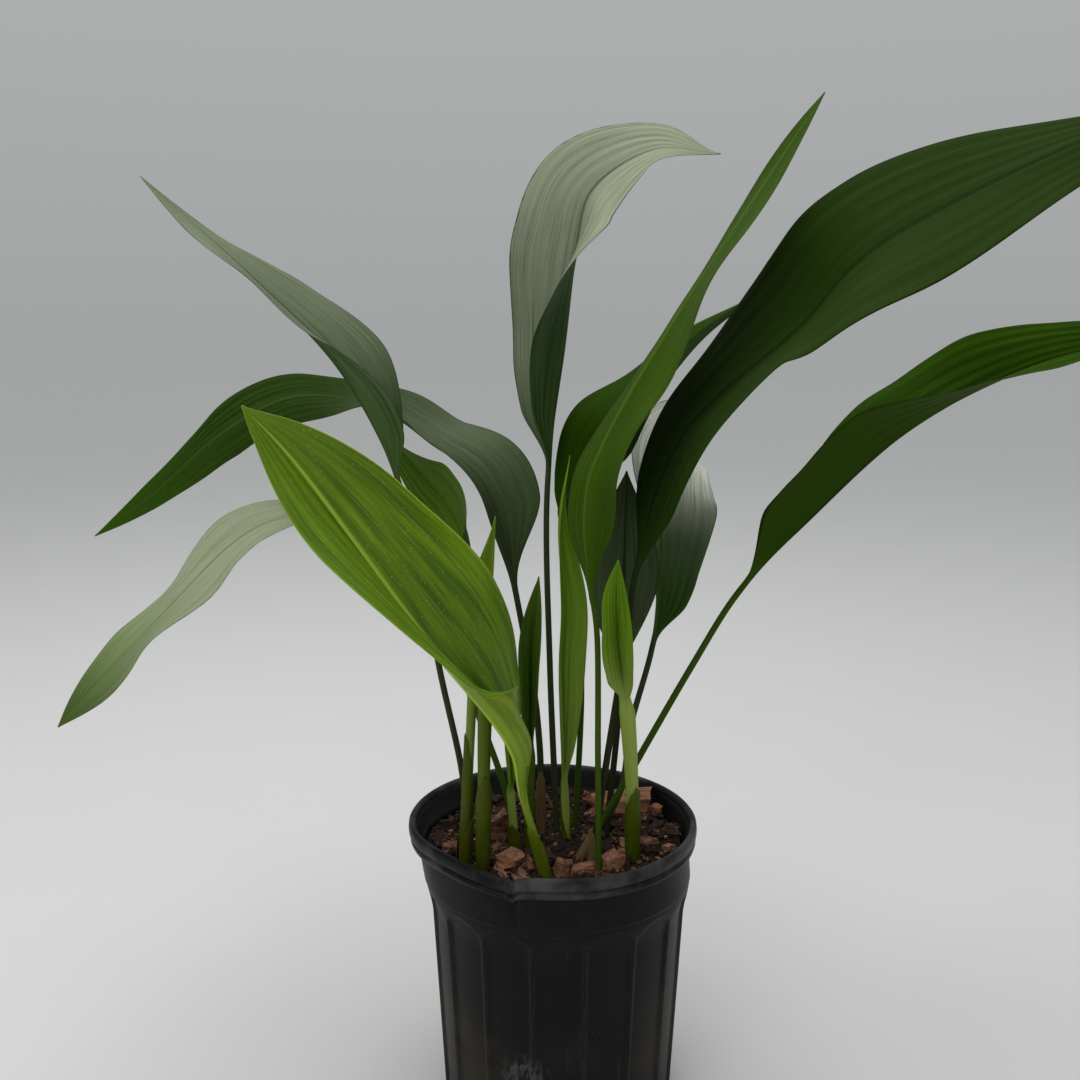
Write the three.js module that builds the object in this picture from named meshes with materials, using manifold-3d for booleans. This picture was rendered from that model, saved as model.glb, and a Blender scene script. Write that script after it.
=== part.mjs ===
// A cast iron plant (Aspidistra) in a black nursery pot. Millimetres, +Z up, the front faces -Y.
// The origin is the centre of the pot's flat underside.
//
// The plant is built the way it grows: a creeping rhizome lies in the potting mix, each leaf stands
// on it with its own stalk, and dry or olive sheaths wrap the foot of the younger shoots.
import * as THREE from 'three';
import { mergeVertices } from 'three/addons/utils/BufferGeometryUtils.js';
import Module from 'manifold-3d';

const wasm = await Module();
wasm.setup();

// ---------- driving dimensions ----------
const clearance = 0.35;

const pot = {
  height: 200,
  flutes: 16,
  wall: 1.8,
  floor: 3,
  rimRadius: 98,
  bandTop: 185.5,
  bandBottom: 163,
  ridgeTopRadius: 86.3,
  ridgeTopHeight: 138,
  baseRadius: 79,
  shoulder: 2.9,
  recess: 2.2,
  fluteSide: 0.09,
  archTop: 159,
  archRise: 17,
  archEdge: 5,
  drainHoles: 6,
  drainRadius: 5,
  drainCircle: 52,
};

// The soft plastic lip has been knocked: it leans to the left and is pressed in at the front left.
const lip = {
  shift: -4,
  bendsFrom: 150,
  bendsOver: 45,
  dents: [
    { azimuth: -47, width: 22, depth: 5.5, drop: 0 },
    { azimuth: -1, width: 15, depth: 2, drop: 0 },
    { azimuth: -22, width: 4, depth: 1.6, drop: 2.2 },
  ],
};

const mix = {
  level: 181.5,
  riseRight: 0.018,
  riseBack: 0.03,
  rimGap: 0.9,
  segments: 32,
  hills: [
    { height: 1.3, x: 0.085, y: 0.07, phase: 1.1 },
    { height: 0.9, x: 0.19, y: -0.14, phase: 0 },
    { height: 0.6, x: 0.11, y: 0.23, phase: 3.6 },
  ],
};

const bark = {
  chips: 18,
  seed: 7,
  spread: 76,
  length: [12, 25],
  width: [7, 14],
  thickness: [4, 7],
  tilt: 0.4,
  lift: 0.4,
};

const rhizome = {
  axisHeight: 146,
  radius: 5.5,
  corners: 6,
  overhang: 3,
};

// The feet of all shoots stand just clear of the rhizome's flat top.
const shootFoot = rhizome.axisHeight + rhizome.radius * Math.cos(Math.PI / rhizome.corners) + 0.3;

const blade = {
  thickness: 0.9,
  ribDepth: 1.3,
  stations: 12,
  stalkStep: 32,
  widestAt: 0.45,
};

const young = 0x8db52f;
const fresh = 0x5f8f2c;
const dark = 0x2f5a2b;
const olive = 0x7d8a35;
const straw = 0xb29a6a;

// Each leaf is one solid, stalk and blade together. rib: the midrib's way up from the mix. start: how
// far along it the blade begins. width: widest half. fullness: how slowly the blade widens at its foot
// (small is quick). roll: turn of the upper face about the midrib, in degrees, from the blade's foot to
// its tip. right and left: how far each half folds up, from foot to tip. stalk: radius at the foot.
// neck: radius where the blade begins, if the stalk doesn't just thin a little.
// wave: height, number and phase of the waves along the edge. foot: where a leaning stalk meets the
// rhizome.
const leaves = [
  {
    name: 'leaf_front_left', colour: young, stalk: 2.9, start: 38, width: 61, fullness: 1.15, foot: [-5, -46],
    rib: [[-9, -48, 182], [-23, -56, 237], [-35, -74, 283], [-79, -110, 356], [-136, -142, 452],
      [-159, -168, 488]],
    roll: [-12, -58, -60, -94], right: [14, 22, 26], left: [78, 41, 5], wave: [1.5, 2.5, 0],
  },
  {
    name: 'leaf_high_left', colour: dark, stalk: 2.4, start: 242, width: 43, fullness: 1.3,
    rib: [[-62, 5, 182], [-66, 4, 232], [-79, 0, 301], [-92, -2, 378], [-106, -9, 438], [-138, -16, 503],
      [-186, -24, 556], [-250, -32, 616]],
    roll: [5, -15, -8, -16], right: [62, 25, -13], left: [70, 9, -9], wave: [1.5, 3, 0.3],
  },
  {
    name: 'leaf_arching_left', colour: dark, stalk: 2.4, start: 163, width: 52, fullness: 0.85,
    rib: [[-12, 10, 182], [-13, 16, 246], [-22, 30, 309], [-48, 50, 412], [-92, 70, 450], [-133, 82, 474],
      [-207, 76, 476], [-231, 66, 460], [-288, 56, 412], [-326, 52, 384]],
    roll: [-53, -10, -44, -12], right: [61, -19, 12], left: [41, 21, -22], wave: [2, 4, 0.6],
  },
  {
    name: 'leaf_drooping_left', colour: fresh, stalk: 2.4, start: 235, width: 43, fullness: 1.2,
    foot: [-27, 0],
    rib: [[-30, 0, 182], [-41, 4, 233], [-82, 12, 333], [-118, 10, 384], [-147, 0, 405], [-173, -10, 408],
      [-207, -20, 393], [-252, -42, 347], [-310, -64, 284]],
    roll: [-6, -10, -2, -58], right: [8, 8, 2], left: [22, -8, 10], wave: [2, 3, 0.1],
  },
  {
    name: 'leaf_tall_centre', colour: dark, stalk: 2.4, start: 245, width: 46, fullness: 0.9,
    rib: [[-1, 14, 182], [-6, 20, 300], [-8, 32, 420], [4, 40, 518], [12, 38, 580], [22, 30, 616],
      [59, 16, 638], [98, -8, 632]],
    roll: [19, 29, 81, 26], right: [42, 49, -3], left: [48, 34, -7], wave: [1.5, 3, 0.5],
  },
  {
    name: 'leaf_tall_right', colour: fresh, stalk: 2.1, start: 174, width: 44, fullness: 1.0,
    rib: [[26, -45, 182], [25, -44, 256], [24, -42, 335], [19, -40, 373], [16, -40, 417], [25, -42, 454],
      [64, -50, 525], [147, -66, 656]],
    roll: [246, 190, 181, 216], right: [8, -4, 0], left: [4, 18, -6], wave: [1.5, 3, 0.8],
  },
  {
    name: 'leaf_inner_right', colour: dark, stalk: 2.3, start: 190, width: 46, fullness: 0.9,
    rib: [[12, 18, 182], [16, 26, 277], [13, 32, 329], [8, 36, 378], [20, 36, 415], [44, 34, 453],
      [92, 26, 519], [147, 18, 560]],
    roll: [-14, 58, 16, -14], right: [66, 40, 0], left: [48, -7, 16], wave: [1.5, 3, 0.2],
  },
  {
    name: 'leaf_broad_right', colour: dark, stalk: 2.4, start: 185, width: 62, fullness: 1.15,
    rib: [[22, -36, 182], [30, -38, 247], [43, -42, 341], [49, -50, 387], [74, -62, 465], [133, -90, 526],
      [168, -125, 570], [254, -156, 616], [312, -178, 629]],
    roll: [228, 213, 238, 215], right: [0, -9, 15], left: [12, -27, 20], wave: [2.5, 3, 0.4],
  },
  {
    name: 'leaf_long_right', colour: fresh, stalk: 2.5, start: 204, width: 40, fullness: 0.7, foot: [-2, -28],
    rib: [[15, -26, 182], [41, -20, 227], [85, -17, 308], [117, -14, 361], [155, -10, 400], [217, -6, 459],
      [283, -8, 498], [340, -15, 516], [392, -24, 514]],
    roll: [-10, -16, 32, 34], right: [70, 37, 22], left: [70, 37, 22], wave: [2, 4, 0.7],
  },
  {
    name: 'leaf_round_right', colour: dark, stalk: 2.3, start: 140, width: 44, fullness: 1.2, foot: [13, -22],
    rib: [[21, -16, 182], [42, -10, 223], [49, 2, 264], [65, 20, 319], [70, 42, 371], [72, 66, 420],
      [84, 94, 447], [105, 154, 466]],
    roll: [66, 76, 56, 112], right: [14, 24, -2], left: [42, 16, -3], wave: [2, 3, 0.9],
  },
  {
    name: 'leaf_upright_right', colour: dark, stalk: 2.3, start: 118, width: 25, fullness: 1.7,
    rib: [[33, 2, 182], [41, -1, 284], [43, -1, 391], [44, 4, 436]],
    roll: [48, 41, 60, 46], right: [42, -4, 6], left: [40, 4, 10], wave: [1, 2, 0.4],
  },
  {
    name: 'leaf_behind_left', colour: fresh, stalk: 2.5, neck: 3.3, start: 139, width: 34, fullness: 1.3,
    rib: [[-62, -34, 182], [-58, -32, 252], [-55, -26, 330], [-59, -2, 388], [-72, 12, 416], [-90, 20, 434],
      [-129, 27, 472]],
    roll: [-110, -118, -108, -130], right: [54, 6, 24], left: [54, 10, 20], wave: [1, 2, 0.6],
  },
  {
    name: 'young_leaf_left', colour: young, stalk: 2.5, neck: 5, start: 125, width: 15, fullness: 1.0,
    rib: [[-49, -41, 182], [-47, -40, 287], [-42, -31, 371], [-40, -28, 411]],
    roll: [-21, -20, -40, -60], right: [68, 62, 38], left: [68, 62, 38], wave: [0, 1, 0],
  },
  {
    name: 'young_leaf_olive', colour: olive, stalk: 2.2, neck: 3, start: 60, width: 13, fullness: 0.8,
    rib: [[-19, -4, 182], [-18, -8, 284], [-18, -10, 326], [-13, -12, 369]],
    roll: [130, 135, 138, 135], right: [70, 60, 20], left: [70, 60, 20], wave: [0, 1, 0],
  },
  {
    name: 'young_leaf_centre', colour: young, stalk: 2.4, neck: 2.8, start: 30, width: 17, fullness: 1.35,
    rib: [[6, 0, 182], [1, -5, 296], [3, -5, 350], [0, -1, 404], [7, 5, 446]],
    roll: [45, 60, 62, 95], right: [62, 52, 0], left: [60, 35, 28], wave: [0, 1, 0],
  },
  {
    name: 'young_leaf_right', colour: young, stalk: 2.8, neck: 5, start: 108, width: 18, fullness: 0.85,
    rib: [[49, -30, 182], [47, -38, 241], [42, -50, 298], [36, -60, 341], [35, -68, 391]],
    roll: [166, 181, 185, 158], right: [55, 60, 14], left: [62, 88, 24], wave: [0, 1, 0],
  },
  {
    name: 'young_shoot_left', colour: young, stalk: 2.6, neck: 2.8, start: 40, width: 7, fullness: 0.8,
    rib: [[-29, -14, 182], [-34, -17, 250], [-37, -19, 285]],
    roll: [-90, -90, -90, -90], right: [75, 70, 60], left: [75, 70, 60], wave: [0, 1, 0],
  },
];

// A sheath wraps the foot of a shoot. top: how far up the shoot it reaches from the foot. layer 0 lies
// on the stalk, and layer 1 on the sheath of layer 0. opens: azimuth of its slit, beside which its top
// edge slants down.
const sheaths = [
  { name: 'sheath_front_left', shoot: 'leaf_front_left', top: 66, layer: 0, opens: 150, colour: olive },
  { name: 'sheath_left_tall', shoot: 'leaf_behind_left', top: 118, layer: 0, opens: 120, colour: olive },
  { name: 'sheath_left_short', shoot: 'leaf_behind_left', top: 68, layer: 1, opens: -60, colour: olive },
  { name: 'sheath_left_second', shoot: 'young_leaf_left', top: 94, layer: 0, opens: 200, colour: olive },
  { name: 'sheath_olive_leaf', shoot: 'young_leaf_olive', top: 52, layer: 0, opens: 90, colour: olive },
  { name: 'sheath_young_shoot', shoot: 'young_shoot_left', top: 50, layer: 0, opens: 160, colour: olive },
  { name: 'sheath_centre', shoot: 'young_leaf_centre', top: 62, layer: 0, opens: 20, colour: olive },
  { name: 'sheath_right', shoot: 'young_leaf_right', top: 86, layer: 0, opens: 215, colour: olive },
  { name: 'dry_sheath_centre', shoot: 'leaf_arching_left', top: 76, layer: 0, opens: 180, colour: straw },
  { name: 'dry_sheath_right', shoot: 'leaf_broad_right', top: 54, layer: 0, opens: 120, colour: straw },
  { name: 'dry_sheath_long', shoot: 'leaf_long_right', top: 70, layer: 0, opens: 60, colour: straw },
];
const wrapping = {
  wall: 0.6,
  gap: 0.5,
  degrees: 320,
  slant: 0.4,
  corners: 8,
};

// ---------- small helpers ----------
const radians = THREE.MathUtils.degToRad;
const up = new THREE.Vector3(0, 0, 1);

function smooth(edge, span, value) {
  return THREE.MathUtils.smoothstep(value, edge, edge + span);
}

// Reads a short list of values, spread evenly over 0..1, at t.
function along(values, t) {
  const place = THREE.MathUtils.clamp(t, 0, 1) * (values.length - 1);
  const index = Math.min(Math.floor(place), values.length - 2);
  return THREE.MathUtils.lerp(values[index], values[index + 1], place - index);
}

// Seeded random numbers, so that the bark falls the same way each time.
function seededRandom(seed) {
  let state = seed;
  return () => {
    state = (state * 1664525 + 1013904223) % 4294967296;
    return state / 4294967296;
  };
}

function geometryFrom(points, faces) {
  const geometry = new THREE.BufferGeometry();
  const flat = points.flatMap((point) => [point.x, point.y, point.z]);
  geometry.setAttribute('position', new THREE.Float32BufferAttribute(flat, 3));
  geometry.setIndex(faces.flat());
  geometry.computeVertexNormals();
  return geometry;
}

// Skins a row of closed rings and caps both ends. The rings run anticlockwise when seen from the last
// ring back towards the first. From ring corner `turnAt` on, the diagonals lean the other way, so that
// the two faces of a thin blade are split alike.
function skin(rings, { turnAt = Infinity, cap = fan } = {}) {
  const count = rings[0].length;
  const points = rings.flat();
  const faces = [];
  for (let i = 0; i + 1 < rings.length; i += 1) {
    for (let j = 0; j < count; j += 1) {
      const a = i * count + j;
      const b = i * count + ((j + 1) % count);
      const c = b + count;
      const d = a + count;
      if (j < turnAt) {
        faces.push([a, b, c], [a, c, d]);
      } else {
        faces.push([a, b, d], [b, c, d]);
      }
    }
  }
  faces.push(...cap(points, 0, count).map((face) => face.reverse()));
  faces.push(...cap(points, (rings.length - 1) * count, count));
  return geometryFrom(points, faces);
}

// Closes the ring that begins at corner `first` with a fan about its middle, which joins the points.
function fan(points, first, count) {
  const ring = points.slice(first, first + count);
  const middle = ring.reduce((sum, point) => sum.add(point), new THREE.Vector3());
  points.push(middle.divideScalar(count));
  return ring.map((_, j) => [first + j, first + ((j + 1) % count), points.length - 1]);
}

// Closes a ring that runs out along one arc and back along another, with a strip between the two.
function strip(points, first, count) {
  const last = first + count - 1;
  return Array.from({ length: count / 2 - 1 }, (_, k) => [
    [first + k, first + k + 1, last - k - 1],
    [first + k, last - k - 1, last - k],
  ]).flat();
}

function toSolid(geometry) {
  const bare = geometry.clone();
  bare.deleteAttribute('normal');
  bare.deleteAttribute('uv');
  const merged = mergeVertices(bare, 1e-4);
  return new wasm.Manifold(new wasm.Mesh({
    numProp: 3,
    vertProperties: Float32Array.from(merged.attributes.position.array),
    triVerts: Uint32Array.from(merged.index.array),
  }));
}

function fromSolid(solid) {
  const mesh = solid.getMesh();
  const geometry = new THREE.BufferGeometry();
  geometry.setAttribute('position', new THREE.BufferAttribute(mesh.vertProperties, 3));
  geometry.setIndex(new THREE.BufferAttribute(mesh.triVerts, 1));
  geometry.computeVertexNormals();
  return geometry;
}

function named(name, geometry, color, roughness = 0.5) {
  const material = new THREE.MeshStandardMaterial({ color, roughness, metalness: 0 });
  const mesh = new THREE.Mesh(geometry, material);
  mesh.name = name;
  return mesh;
}

// ---------- pot ----------
// Azimuth 0 is the front (-Y), and it grows towards the right (+X).
function polar(radius, azimuth, z) {
  return new THREE.Vector3(radius * Math.sin(azimuth), -radius * Math.cos(azimuth), z);
}

// Moves a point of the upper wall as the knocked lip has moved.
function knock(point) {
  const weight = smooth(lip.bendsFrom, lip.bendsOver, point.z);
  const radius = Math.hypot(point.x, point.y);
  const azimuth = THREE.MathUtils.radToDeg(Math.atan2(point.x, -point.y));
  let inward = 0;
  let down = 0;
  for (const dent of lip.dents) {
    const bell = Math.exp(-(((azimuth - dent.azimuth) / dent.width) ** 2));
    inward += dent.depth * bell;
    down += dent.drop * bell;
  }
  // The middle of the mix isn't moved by the dents, only its edge.
  const edge = smooth(0.55, 0.4, radius / pot.rimRadius);
  const scale = radius > 0 ? 1 - (inward * weight * edge) / radius : 1;
  return new THREE.Vector3(
    point.x * scale + lip.shift * weight,
    point.y * scale,
    point.z - down * weight * edge,
  );
}

// Radius of the ridges between the flutes.
function ridgeRadius(z) {
  const slope = (pot.ridgeTopRadius - pot.baseRadius) / pot.ridgeTopHeight;
  const straight = pot.baseRadius + slope * z;
  return straight + pot.shoulder * smooth(pot.ridgeTopHeight, pot.bandBottom - pot.ridgeTopHeight, z);
}

// Depth of a flute's panel below the ridges, with a round arch at its top.
function fluteDepth(across, z) {
  const fromMiddle = Math.abs(across - 0.5) * 2;
  const archEdge = pot.archTop - pot.archRise * (1 - Math.sqrt(Math.max(0, 1 - fromMiddle ** 2)));
  const side = smooth(0, pot.fluteSide, 0.5 - Math.abs(across - 0.5));
  return pot.recess * side * smooth(0, pot.archEdge, archEdge - z);
}

function innerRadius(z) {
  return ridgeRadius(z) - pot.recess - pot.wall;
}

function potGeometry() {
  const acrossFlute = [0, 0.13, 0.5, 0.87];
  const azimuths = [];
  for (let flute = 0; flute < pot.flutes; flute += 1) {
    for (const across of acrossFlute) {
      azimuths.push({ across, angle: ((flute + across - 0.5) / pot.flutes) * 2 * Math.PI });
    }
  }
  const outerHeights = [0, pot.ridgeTopHeight, 145, 151, 156, pot.bandBottom];
  const band = [[pot.bandTop, 91.6]];
  const lipOuter = [[186, 96.6], [190.3, 95.2], [192, 97.8], [198, 98]];
  const lipInner = [[200, 95.4], [198, 92.4], [186, 89.6]];
  const innerHeights = [pot.bandBottom, pot.ridgeTopHeight, pot.floor];
  const rings = [];
  const ring = (z, radiusAt) => azimuths.map(({ across, angle }) => {
    return knock(polar(radiusAt(across), angle, z));
  });
  for (const z of outerHeights) {
    rings.push(ring(z, (across) => ridgeRadius(z) - fluteDepth(across, z)));
  }
  for (const [z, radius] of [...band, ...lipOuter, ...lipInner]) {
    rings.push(ring(z, () => radius));
  }
  for (const z of innerHeights) {
    rings.push(ring(z, () => innerRadius(z)));
  }
  let solid = toSolid(skin(rings));
  for (let i = 0; i < pot.drainHoles; i += 1) {
    const hole = new THREE.CylinderGeometry(pot.drainRadius, pot.drainRadius, 4 * pot.floor, 12);
    hole.rotateX(Math.PI / 2);
    const place = polar(pot.drainCircle, ((i + 0.5) / pot.drainHoles) * 2 * Math.PI, 0);
    hole.translate(place.x, place.y, 0);
    solid = solid.subtract(toSolid(hole));
  }
  return fromSolid(solid);
}

// ---------- midribs and rings along them ----------
// Where a shoot stands on the rhizome: straight below the rib's first point, unless the leaf has a foot.
function shootFootOf(leaf) {
  const [x, y] = leaf.foot ?? leaf.rib[0];
  return new THREE.Vector3(x, y, shootFoot);
}

// A smooth way through the shoot's foot and the rib's points.
class Midrib {
  constructor(leaf) {
    const points = leaf.rib.map((point) => new THREE.Vector3(...point));
    const foot = shootFootOf(leaf);
    this.buried = points[0].distanceTo(foot);
    this.curve = new THREE.CatmullRomCurve3([foot, ...points], false, 'catmullrom', 0.5);
    this.length = this.curve.getLength();
    const reach = points[points.length - 1].clone().sub(points[0]).setZ(0).normalize();
    this.level = new THREE.Vector3().crossVectors(up, reach);
  }

  // Place and axes at a distance from the foot. side points to the right when the upper face is seen
  // with the tip up, and face is the upper face's normal.
  frame(distance, roll) {
    const t = THREE.MathUtils.clamp(distance / this.length, 0, 1);
    const place = this.curve.getPointAt(t);
    // The foot is cut level.
    const ahead = t === 0 ? up.clone() : this.curve.getTangentAt(t);
    const left = this.level.clone().addScaledVector(ahead, -this.level.dot(ahead)).normalize();
    const above = new THREE.Vector3().crossVectors(ahead, left);
    const angle = radians(roll);
    const face = above.clone().multiplyScalar(Math.cos(angle));
    face.addScaledVector(left, -Math.sin(angle));
    const side = new THREE.Vector3().crossVectors(ahead, face);
    return { place, ahead, side, face };
  }

  // Distances of the rings on the stalk, which its sheaths and its hole share, so that they nest.
  stalkStations(end) {
    const count = Math.max(2, Math.round((end - this.buried) / blade.stalkStep));
    const above = Array.from({ length: count }, (_, i) => {
      return THREE.MathUtils.lerp(this.buried, end, i / count);
    });
    return [0, this.buried * 0.5, ...above];
  }
}

function around(frame, x, y) {
  return frame.place.clone().addScaledVector(frame.side, x).addScaledVector(frame.face, y);
}

// Ten corners of a stalk's round section, in the order of the blade's section.
function stalkRing(frame, radius) {
  return Array.from({ length: 10 }, (_, k) => {
    const angle = radians(162 - 36 * k);
    return around(frame, radius * Math.cos(angle), radius * Math.sin(angle));
  });
}

// Five corners over the upper face, left to right, and five back under it.
function bladeRing(frame, halfWidth, right, left, ripple) {
  const upper = [];
  const lower = [];
  for (const u of [-1, -0.5, 0, 0.5, 1]) {
    const fold = radians(u > 0 ? right : left);
    const reach = Math.abs(u) * halfWidth;
    const x = Math.sign(u) * reach * Math.cos(fold);
    const y = reach * Math.sin(fold) + ripple * u * u;
    if (u === 0) {
      const keel = Math.min(blade.thickness / 2 / Math.cos(Math.max(radians(right), radians(left))), 1.1);
      upper.push(around(frame, 0, keel));
      lower.unshift(around(frame, 0, -keel - blade.ribDepth * 0.5));
    } else {
      const across = -Math.sign(u) * Math.sin(fold) * 0.5 * blade.thickness;
      const through = Math.cos(fold) * 0.5 * blade.thickness;
      upper.push(around(frame, x + across, y + through));
      lower.unshift(around(frame, x - across, y - through));
    }
  }
  return [...upper, ...lower];
}

// Radius of the stalk at a share of its length, from the foot (0) to where the blade begins (1).
function stalkRadius(leaf, share) {
  return THREE.MathUtils.lerp(leaf.stalk, leaf.neck ?? 0.85 * leaf.stalk, share);
}

// Half width of the blade at t, from its foot (0) to its tip (1).
function halfWidth(leaf, t, neck) {
  const bend = Math.log(0.5) / Math.log(blade.widestAt);
  const power = t < blade.widestAt ? leaf.fullness : 0.95;
  const bow = leaf.width * Math.sin(Math.PI * t ** bend) ** power;
  return Math.max(bow, neck * (1 - t) ** 2 + 0.9);
}

function leafGeometry(leaf) {
  const midrib = new Midrib(leaf);
  const start = leaf.start + midrib.buried;
  const rings = midrib.stalkStations(start).map((distance) => {
    return stalkRing(midrib.frame(distance, leaf.roll[0]), stalkRadius(leaf, distance / start));
  });
  const [waveHeight, waves, phase] = leaf.wave;
  const neck = stalkRadius(leaf, 1);
  for (let i = 0; i <= blade.stations; i += 1) {
    const t = i / blade.stations;
    const frame = midrib.frame(start + (midrib.length - start) * t, along(leaf.roll, t));
    const ripple = waveHeight * Math.sin(2 * Math.PI * (waves * t + phase)) * Math.sin(Math.PI * t);
    const flat = bladeRing(
      frame,
      halfWidth(leaf, t, neck),
      along(leaf.right, t),
      along(leaf.left, t),
      ripple,
    );
    const round = stalkRing(frame, neck);
    const flatness = smooth(0, 0.16, t);
    rings.push(round.map((corner, k) => corner.lerp(flat[k], flatness)));
  }
  return skin(rings, { turnAt: 5 });
}

// ---------- sheaths ----------
function leafOf(sheath) {
  return leaves.find((leaf) => leaf.name === sheath.shoot);
}

// Inner and outer radius of a sheath's corners around a stalk. Its flats clear what it wraps.
function sheathRadii(sheath, stalk) {
  const flat = Math.cos(radians(wrapping.degrees / (wrapping.corners - 1) / 2));
  let inner = (stalk + wrapping.gap) / flat;
  for (let layer = 0; layer < sheath.layer; layer += 1) {
    inner = (inner + wrapping.wall + wrapping.gap) / flat;
  }
  return [inner, inner + wrapping.wall];
}

function sheathGeometry(sheath) {
  const leaf = leafOf(sheath);
  const midrib = new Midrib(leaf);
  const start = leaf.start + midrib.buried;
  const below = midrib.stalkStations(start).filter((distance) => distance < sheath.top - 4);
  // The frame's own side turns with the shoot, so the slit is aimed by compass.
  const aim = polar(1, radians(sheath.opens), 0);
  const rings = [...below, sheath.top].map((distance) => {
    const upperHalf = smooth(0.45, 0.55, distance / sheath.top);
    const [inner, outer] = sheathRadii(sheath, stalkRadius(leaf, Math.min(1, distance / start)));
    const arc = (radius) => Array.from({ length: wrapping.corners }, (_, k) => {
      const fromMiddle = 0.5 - k / (wrapping.corners - 1);
      const drop = wrapping.slant * (2 * fromMiddle) ** 2 * upperHalf;
      const frame = midrib.frame(distance * (1 - drop), 0);
      const slit = Math.atan2(aim.dot(frame.face), aim.dot(frame.side));
      const angle = slit + Math.PI + fromMiddle * radians(wrapping.degrees);
      return around(frame, radius * Math.cos(angle), radius * Math.sin(angle));
    });
    return [...arc(outer), ...arc(inner).reverse()];
  });
  return skin(rings, { cap: strip });
}

// ---------- rhizome ----------
function axisUnder(name) {
  return shootFootOf(leaves.find((leaf) => leaf.name === name)).setZ(rhizome.axisHeight);
}

// The rhizome's branches, each from shoot to shoot.
const branches = [
  ['leaf_high_left', 'leaf_drooping_left', 'young_leaf_olive', 'young_leaf_centre', 'leaf_upright_right'],
  ['leaf_behind_left', 'young_leaf_left', 'leaf_front_left', 'leaf_tall_right', 'young_leaf_right'],
  ['young_leaf_olive', 'leaf_arching_left', 'leaf_tall_centre', 'leaf_inner_right'],
  ['leaf_upright_right', 'leaf_round_right', 'leaf_long_right'],
  ['leaf_round_right', 'leaf_broad_right', 'leaf_tall_right'],
  ['leaf_drooping_left', 'young_shoot_left'],
];

// The whole rhizome, thickened by a margin where it cuts its own bed in the mix.
function rhizomeSolid(margin) {
  const radius = rhizome.radius + margin / Math.cos(Math.PI / rhizome.corners);
  const overhang = rhizome.overhang + margin;
  let solid = null;
  for (const branch of branches) {
    const knots = branch.map(axisUnder);
    const last = knots.length - 1;
    const rings = knots.map((knot, i) => {
      const ahead = knots[Math.min(i + 1, last)].clone().sub(knots[Math.max(i - 1, 0)]).normalize();
      const side = new THREE.Vector3().crossVectors(ahead, up);
      const push = { 0: -overhang, [last]: overhang }[i] ?? 0;
      const middle = knot.clone().addScaledVector(ahead, push);
      return Array.from({ length: rhizome.corners }, (_, k) => {
        const angle = -(k / rhizome.corners) * 2 * Math.PI;
        return middle.clone()
          .addScaledVector(side, radius * Math.cos(angle))
          .addScaledVector(up, radius * Math.sin(angle));
      });
    });
    const piece = toSolid(skin(rings));
    solid = solid ? solid.add(piece) : piece;
  }
  return solid;
}

// ---------- potting mix ----------
// Height of the mix: hilly, and higher at the back right.
function mixHeight(x, y) {
  const slope = mix.riseRight * x + mix.riseBack * y;
  return mix.hills.reduce((height, hill) => {
    return height + hill.height * Math.sin(hill.x * x + hill.y * y + hill.phase);
  }, mix.level + slope);
}

function mixBody() {
  const angles = Array.from({ length: mix.segments }, (_, k) => (k / mix.segments) * 2 * Math.PI);
  const wall = [pot.floor + clearance, pot.ridgeTopHeight, pot.bandBottom].map((z) => {
    return angles.map((angle) => knock(polar(innerRadius(z) - mix.rimGap, angle, z)));
  });
  const rim = innerRadius(mix.level) - mix.rimGap;
  const surface = [1, 0.84, 0.66, 0.46, 0.24].map((share) => angles.map((angle) => {
    const flat = polar(rim * share, angle, 0);
    return knock(flat.setZ(mixHeight(flat.x, flat.y)));
  }));
  return toSolid(skin([...wall, ...surface]));
}

// Flakes of bark, half sunk in the mix.
function barkChips(solid) {
  const random = seededRandom(bark.seed);
  const between = ([least, most]) => THREE.MathUtils.lerp(least, most, random());
  let result = solid;
  for (let i = 0; i < bark.chips; i += 1) {
    const place = polar(bark.spread * Math.sqrt(random()), between([0, 2 * Math.PI]), 0);
    const chip = new THREE.BoxGeometry(between(bark.length), between(bark.width), between(bark.thickness));
    chip.rotateX(between([-bark.tilt, bark.tilt]));
    chip.rotateY(between([-bark.tilt, bark.tilt]));
    chip.rotateZ(between([0, Math.PI]));
    chip.translate(place.x + lip.shift, place.y, mixHeight(place.x, place.y) + bark.lift);
    result = result.add(toSolid(chip));
  }
  return result;
}

// A plain hole for each shoot, wide enough for its sheaths.
function shootHole(leaf) {
  const midrib = new Midrib(leaf);
  const wraps = sheaths.filter((sheath) => sheath.shoot === leaf.name);
  const corners = 6;
  const start = leaf.start + midrib.buried;
  const rings = [];
  for (const distance of midrib.stalkStations(start).slice(0, 4)) {
    const stalk = stalkRadius(leaf, distance / start);
    const widest = Math.max(stalk, ...wraps.map((sheath) => sheathRadii(sheath, stalk)[1]));
    const outer = (widest + clearance) / Math.cos(Math.PI / corners);
    const frame = midrib.frame(distance, 0);
    if (distance === 0) {
      frame.place.z -= clearance;
    }
    rings.push(Array.from({ length: corners }, (_, k) => {
      const angle = -((k + 0.5) / corners) * 2 * Math.PI;
      return around(frame, outer * Math.cos(angle), outer * Math.sin(angle));
    }));
  }
  return toSolid(skin(rings));
}

function mixGeometry() {
  let solid = barkChips(mixBody());
  for (const leaf of leaves) {
    solid = solid.subtract(shootHole(leaf));
  }
  const pieces = solid.subtract(rhizomeSolid(clearance)).decompose();
  // Crumbs that a hole has cut off a chip are dropped.
  return fromSolid(pieces.reduce((most, piece) => (piece.volume() > most.volume() ? piece : most)));
}

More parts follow.
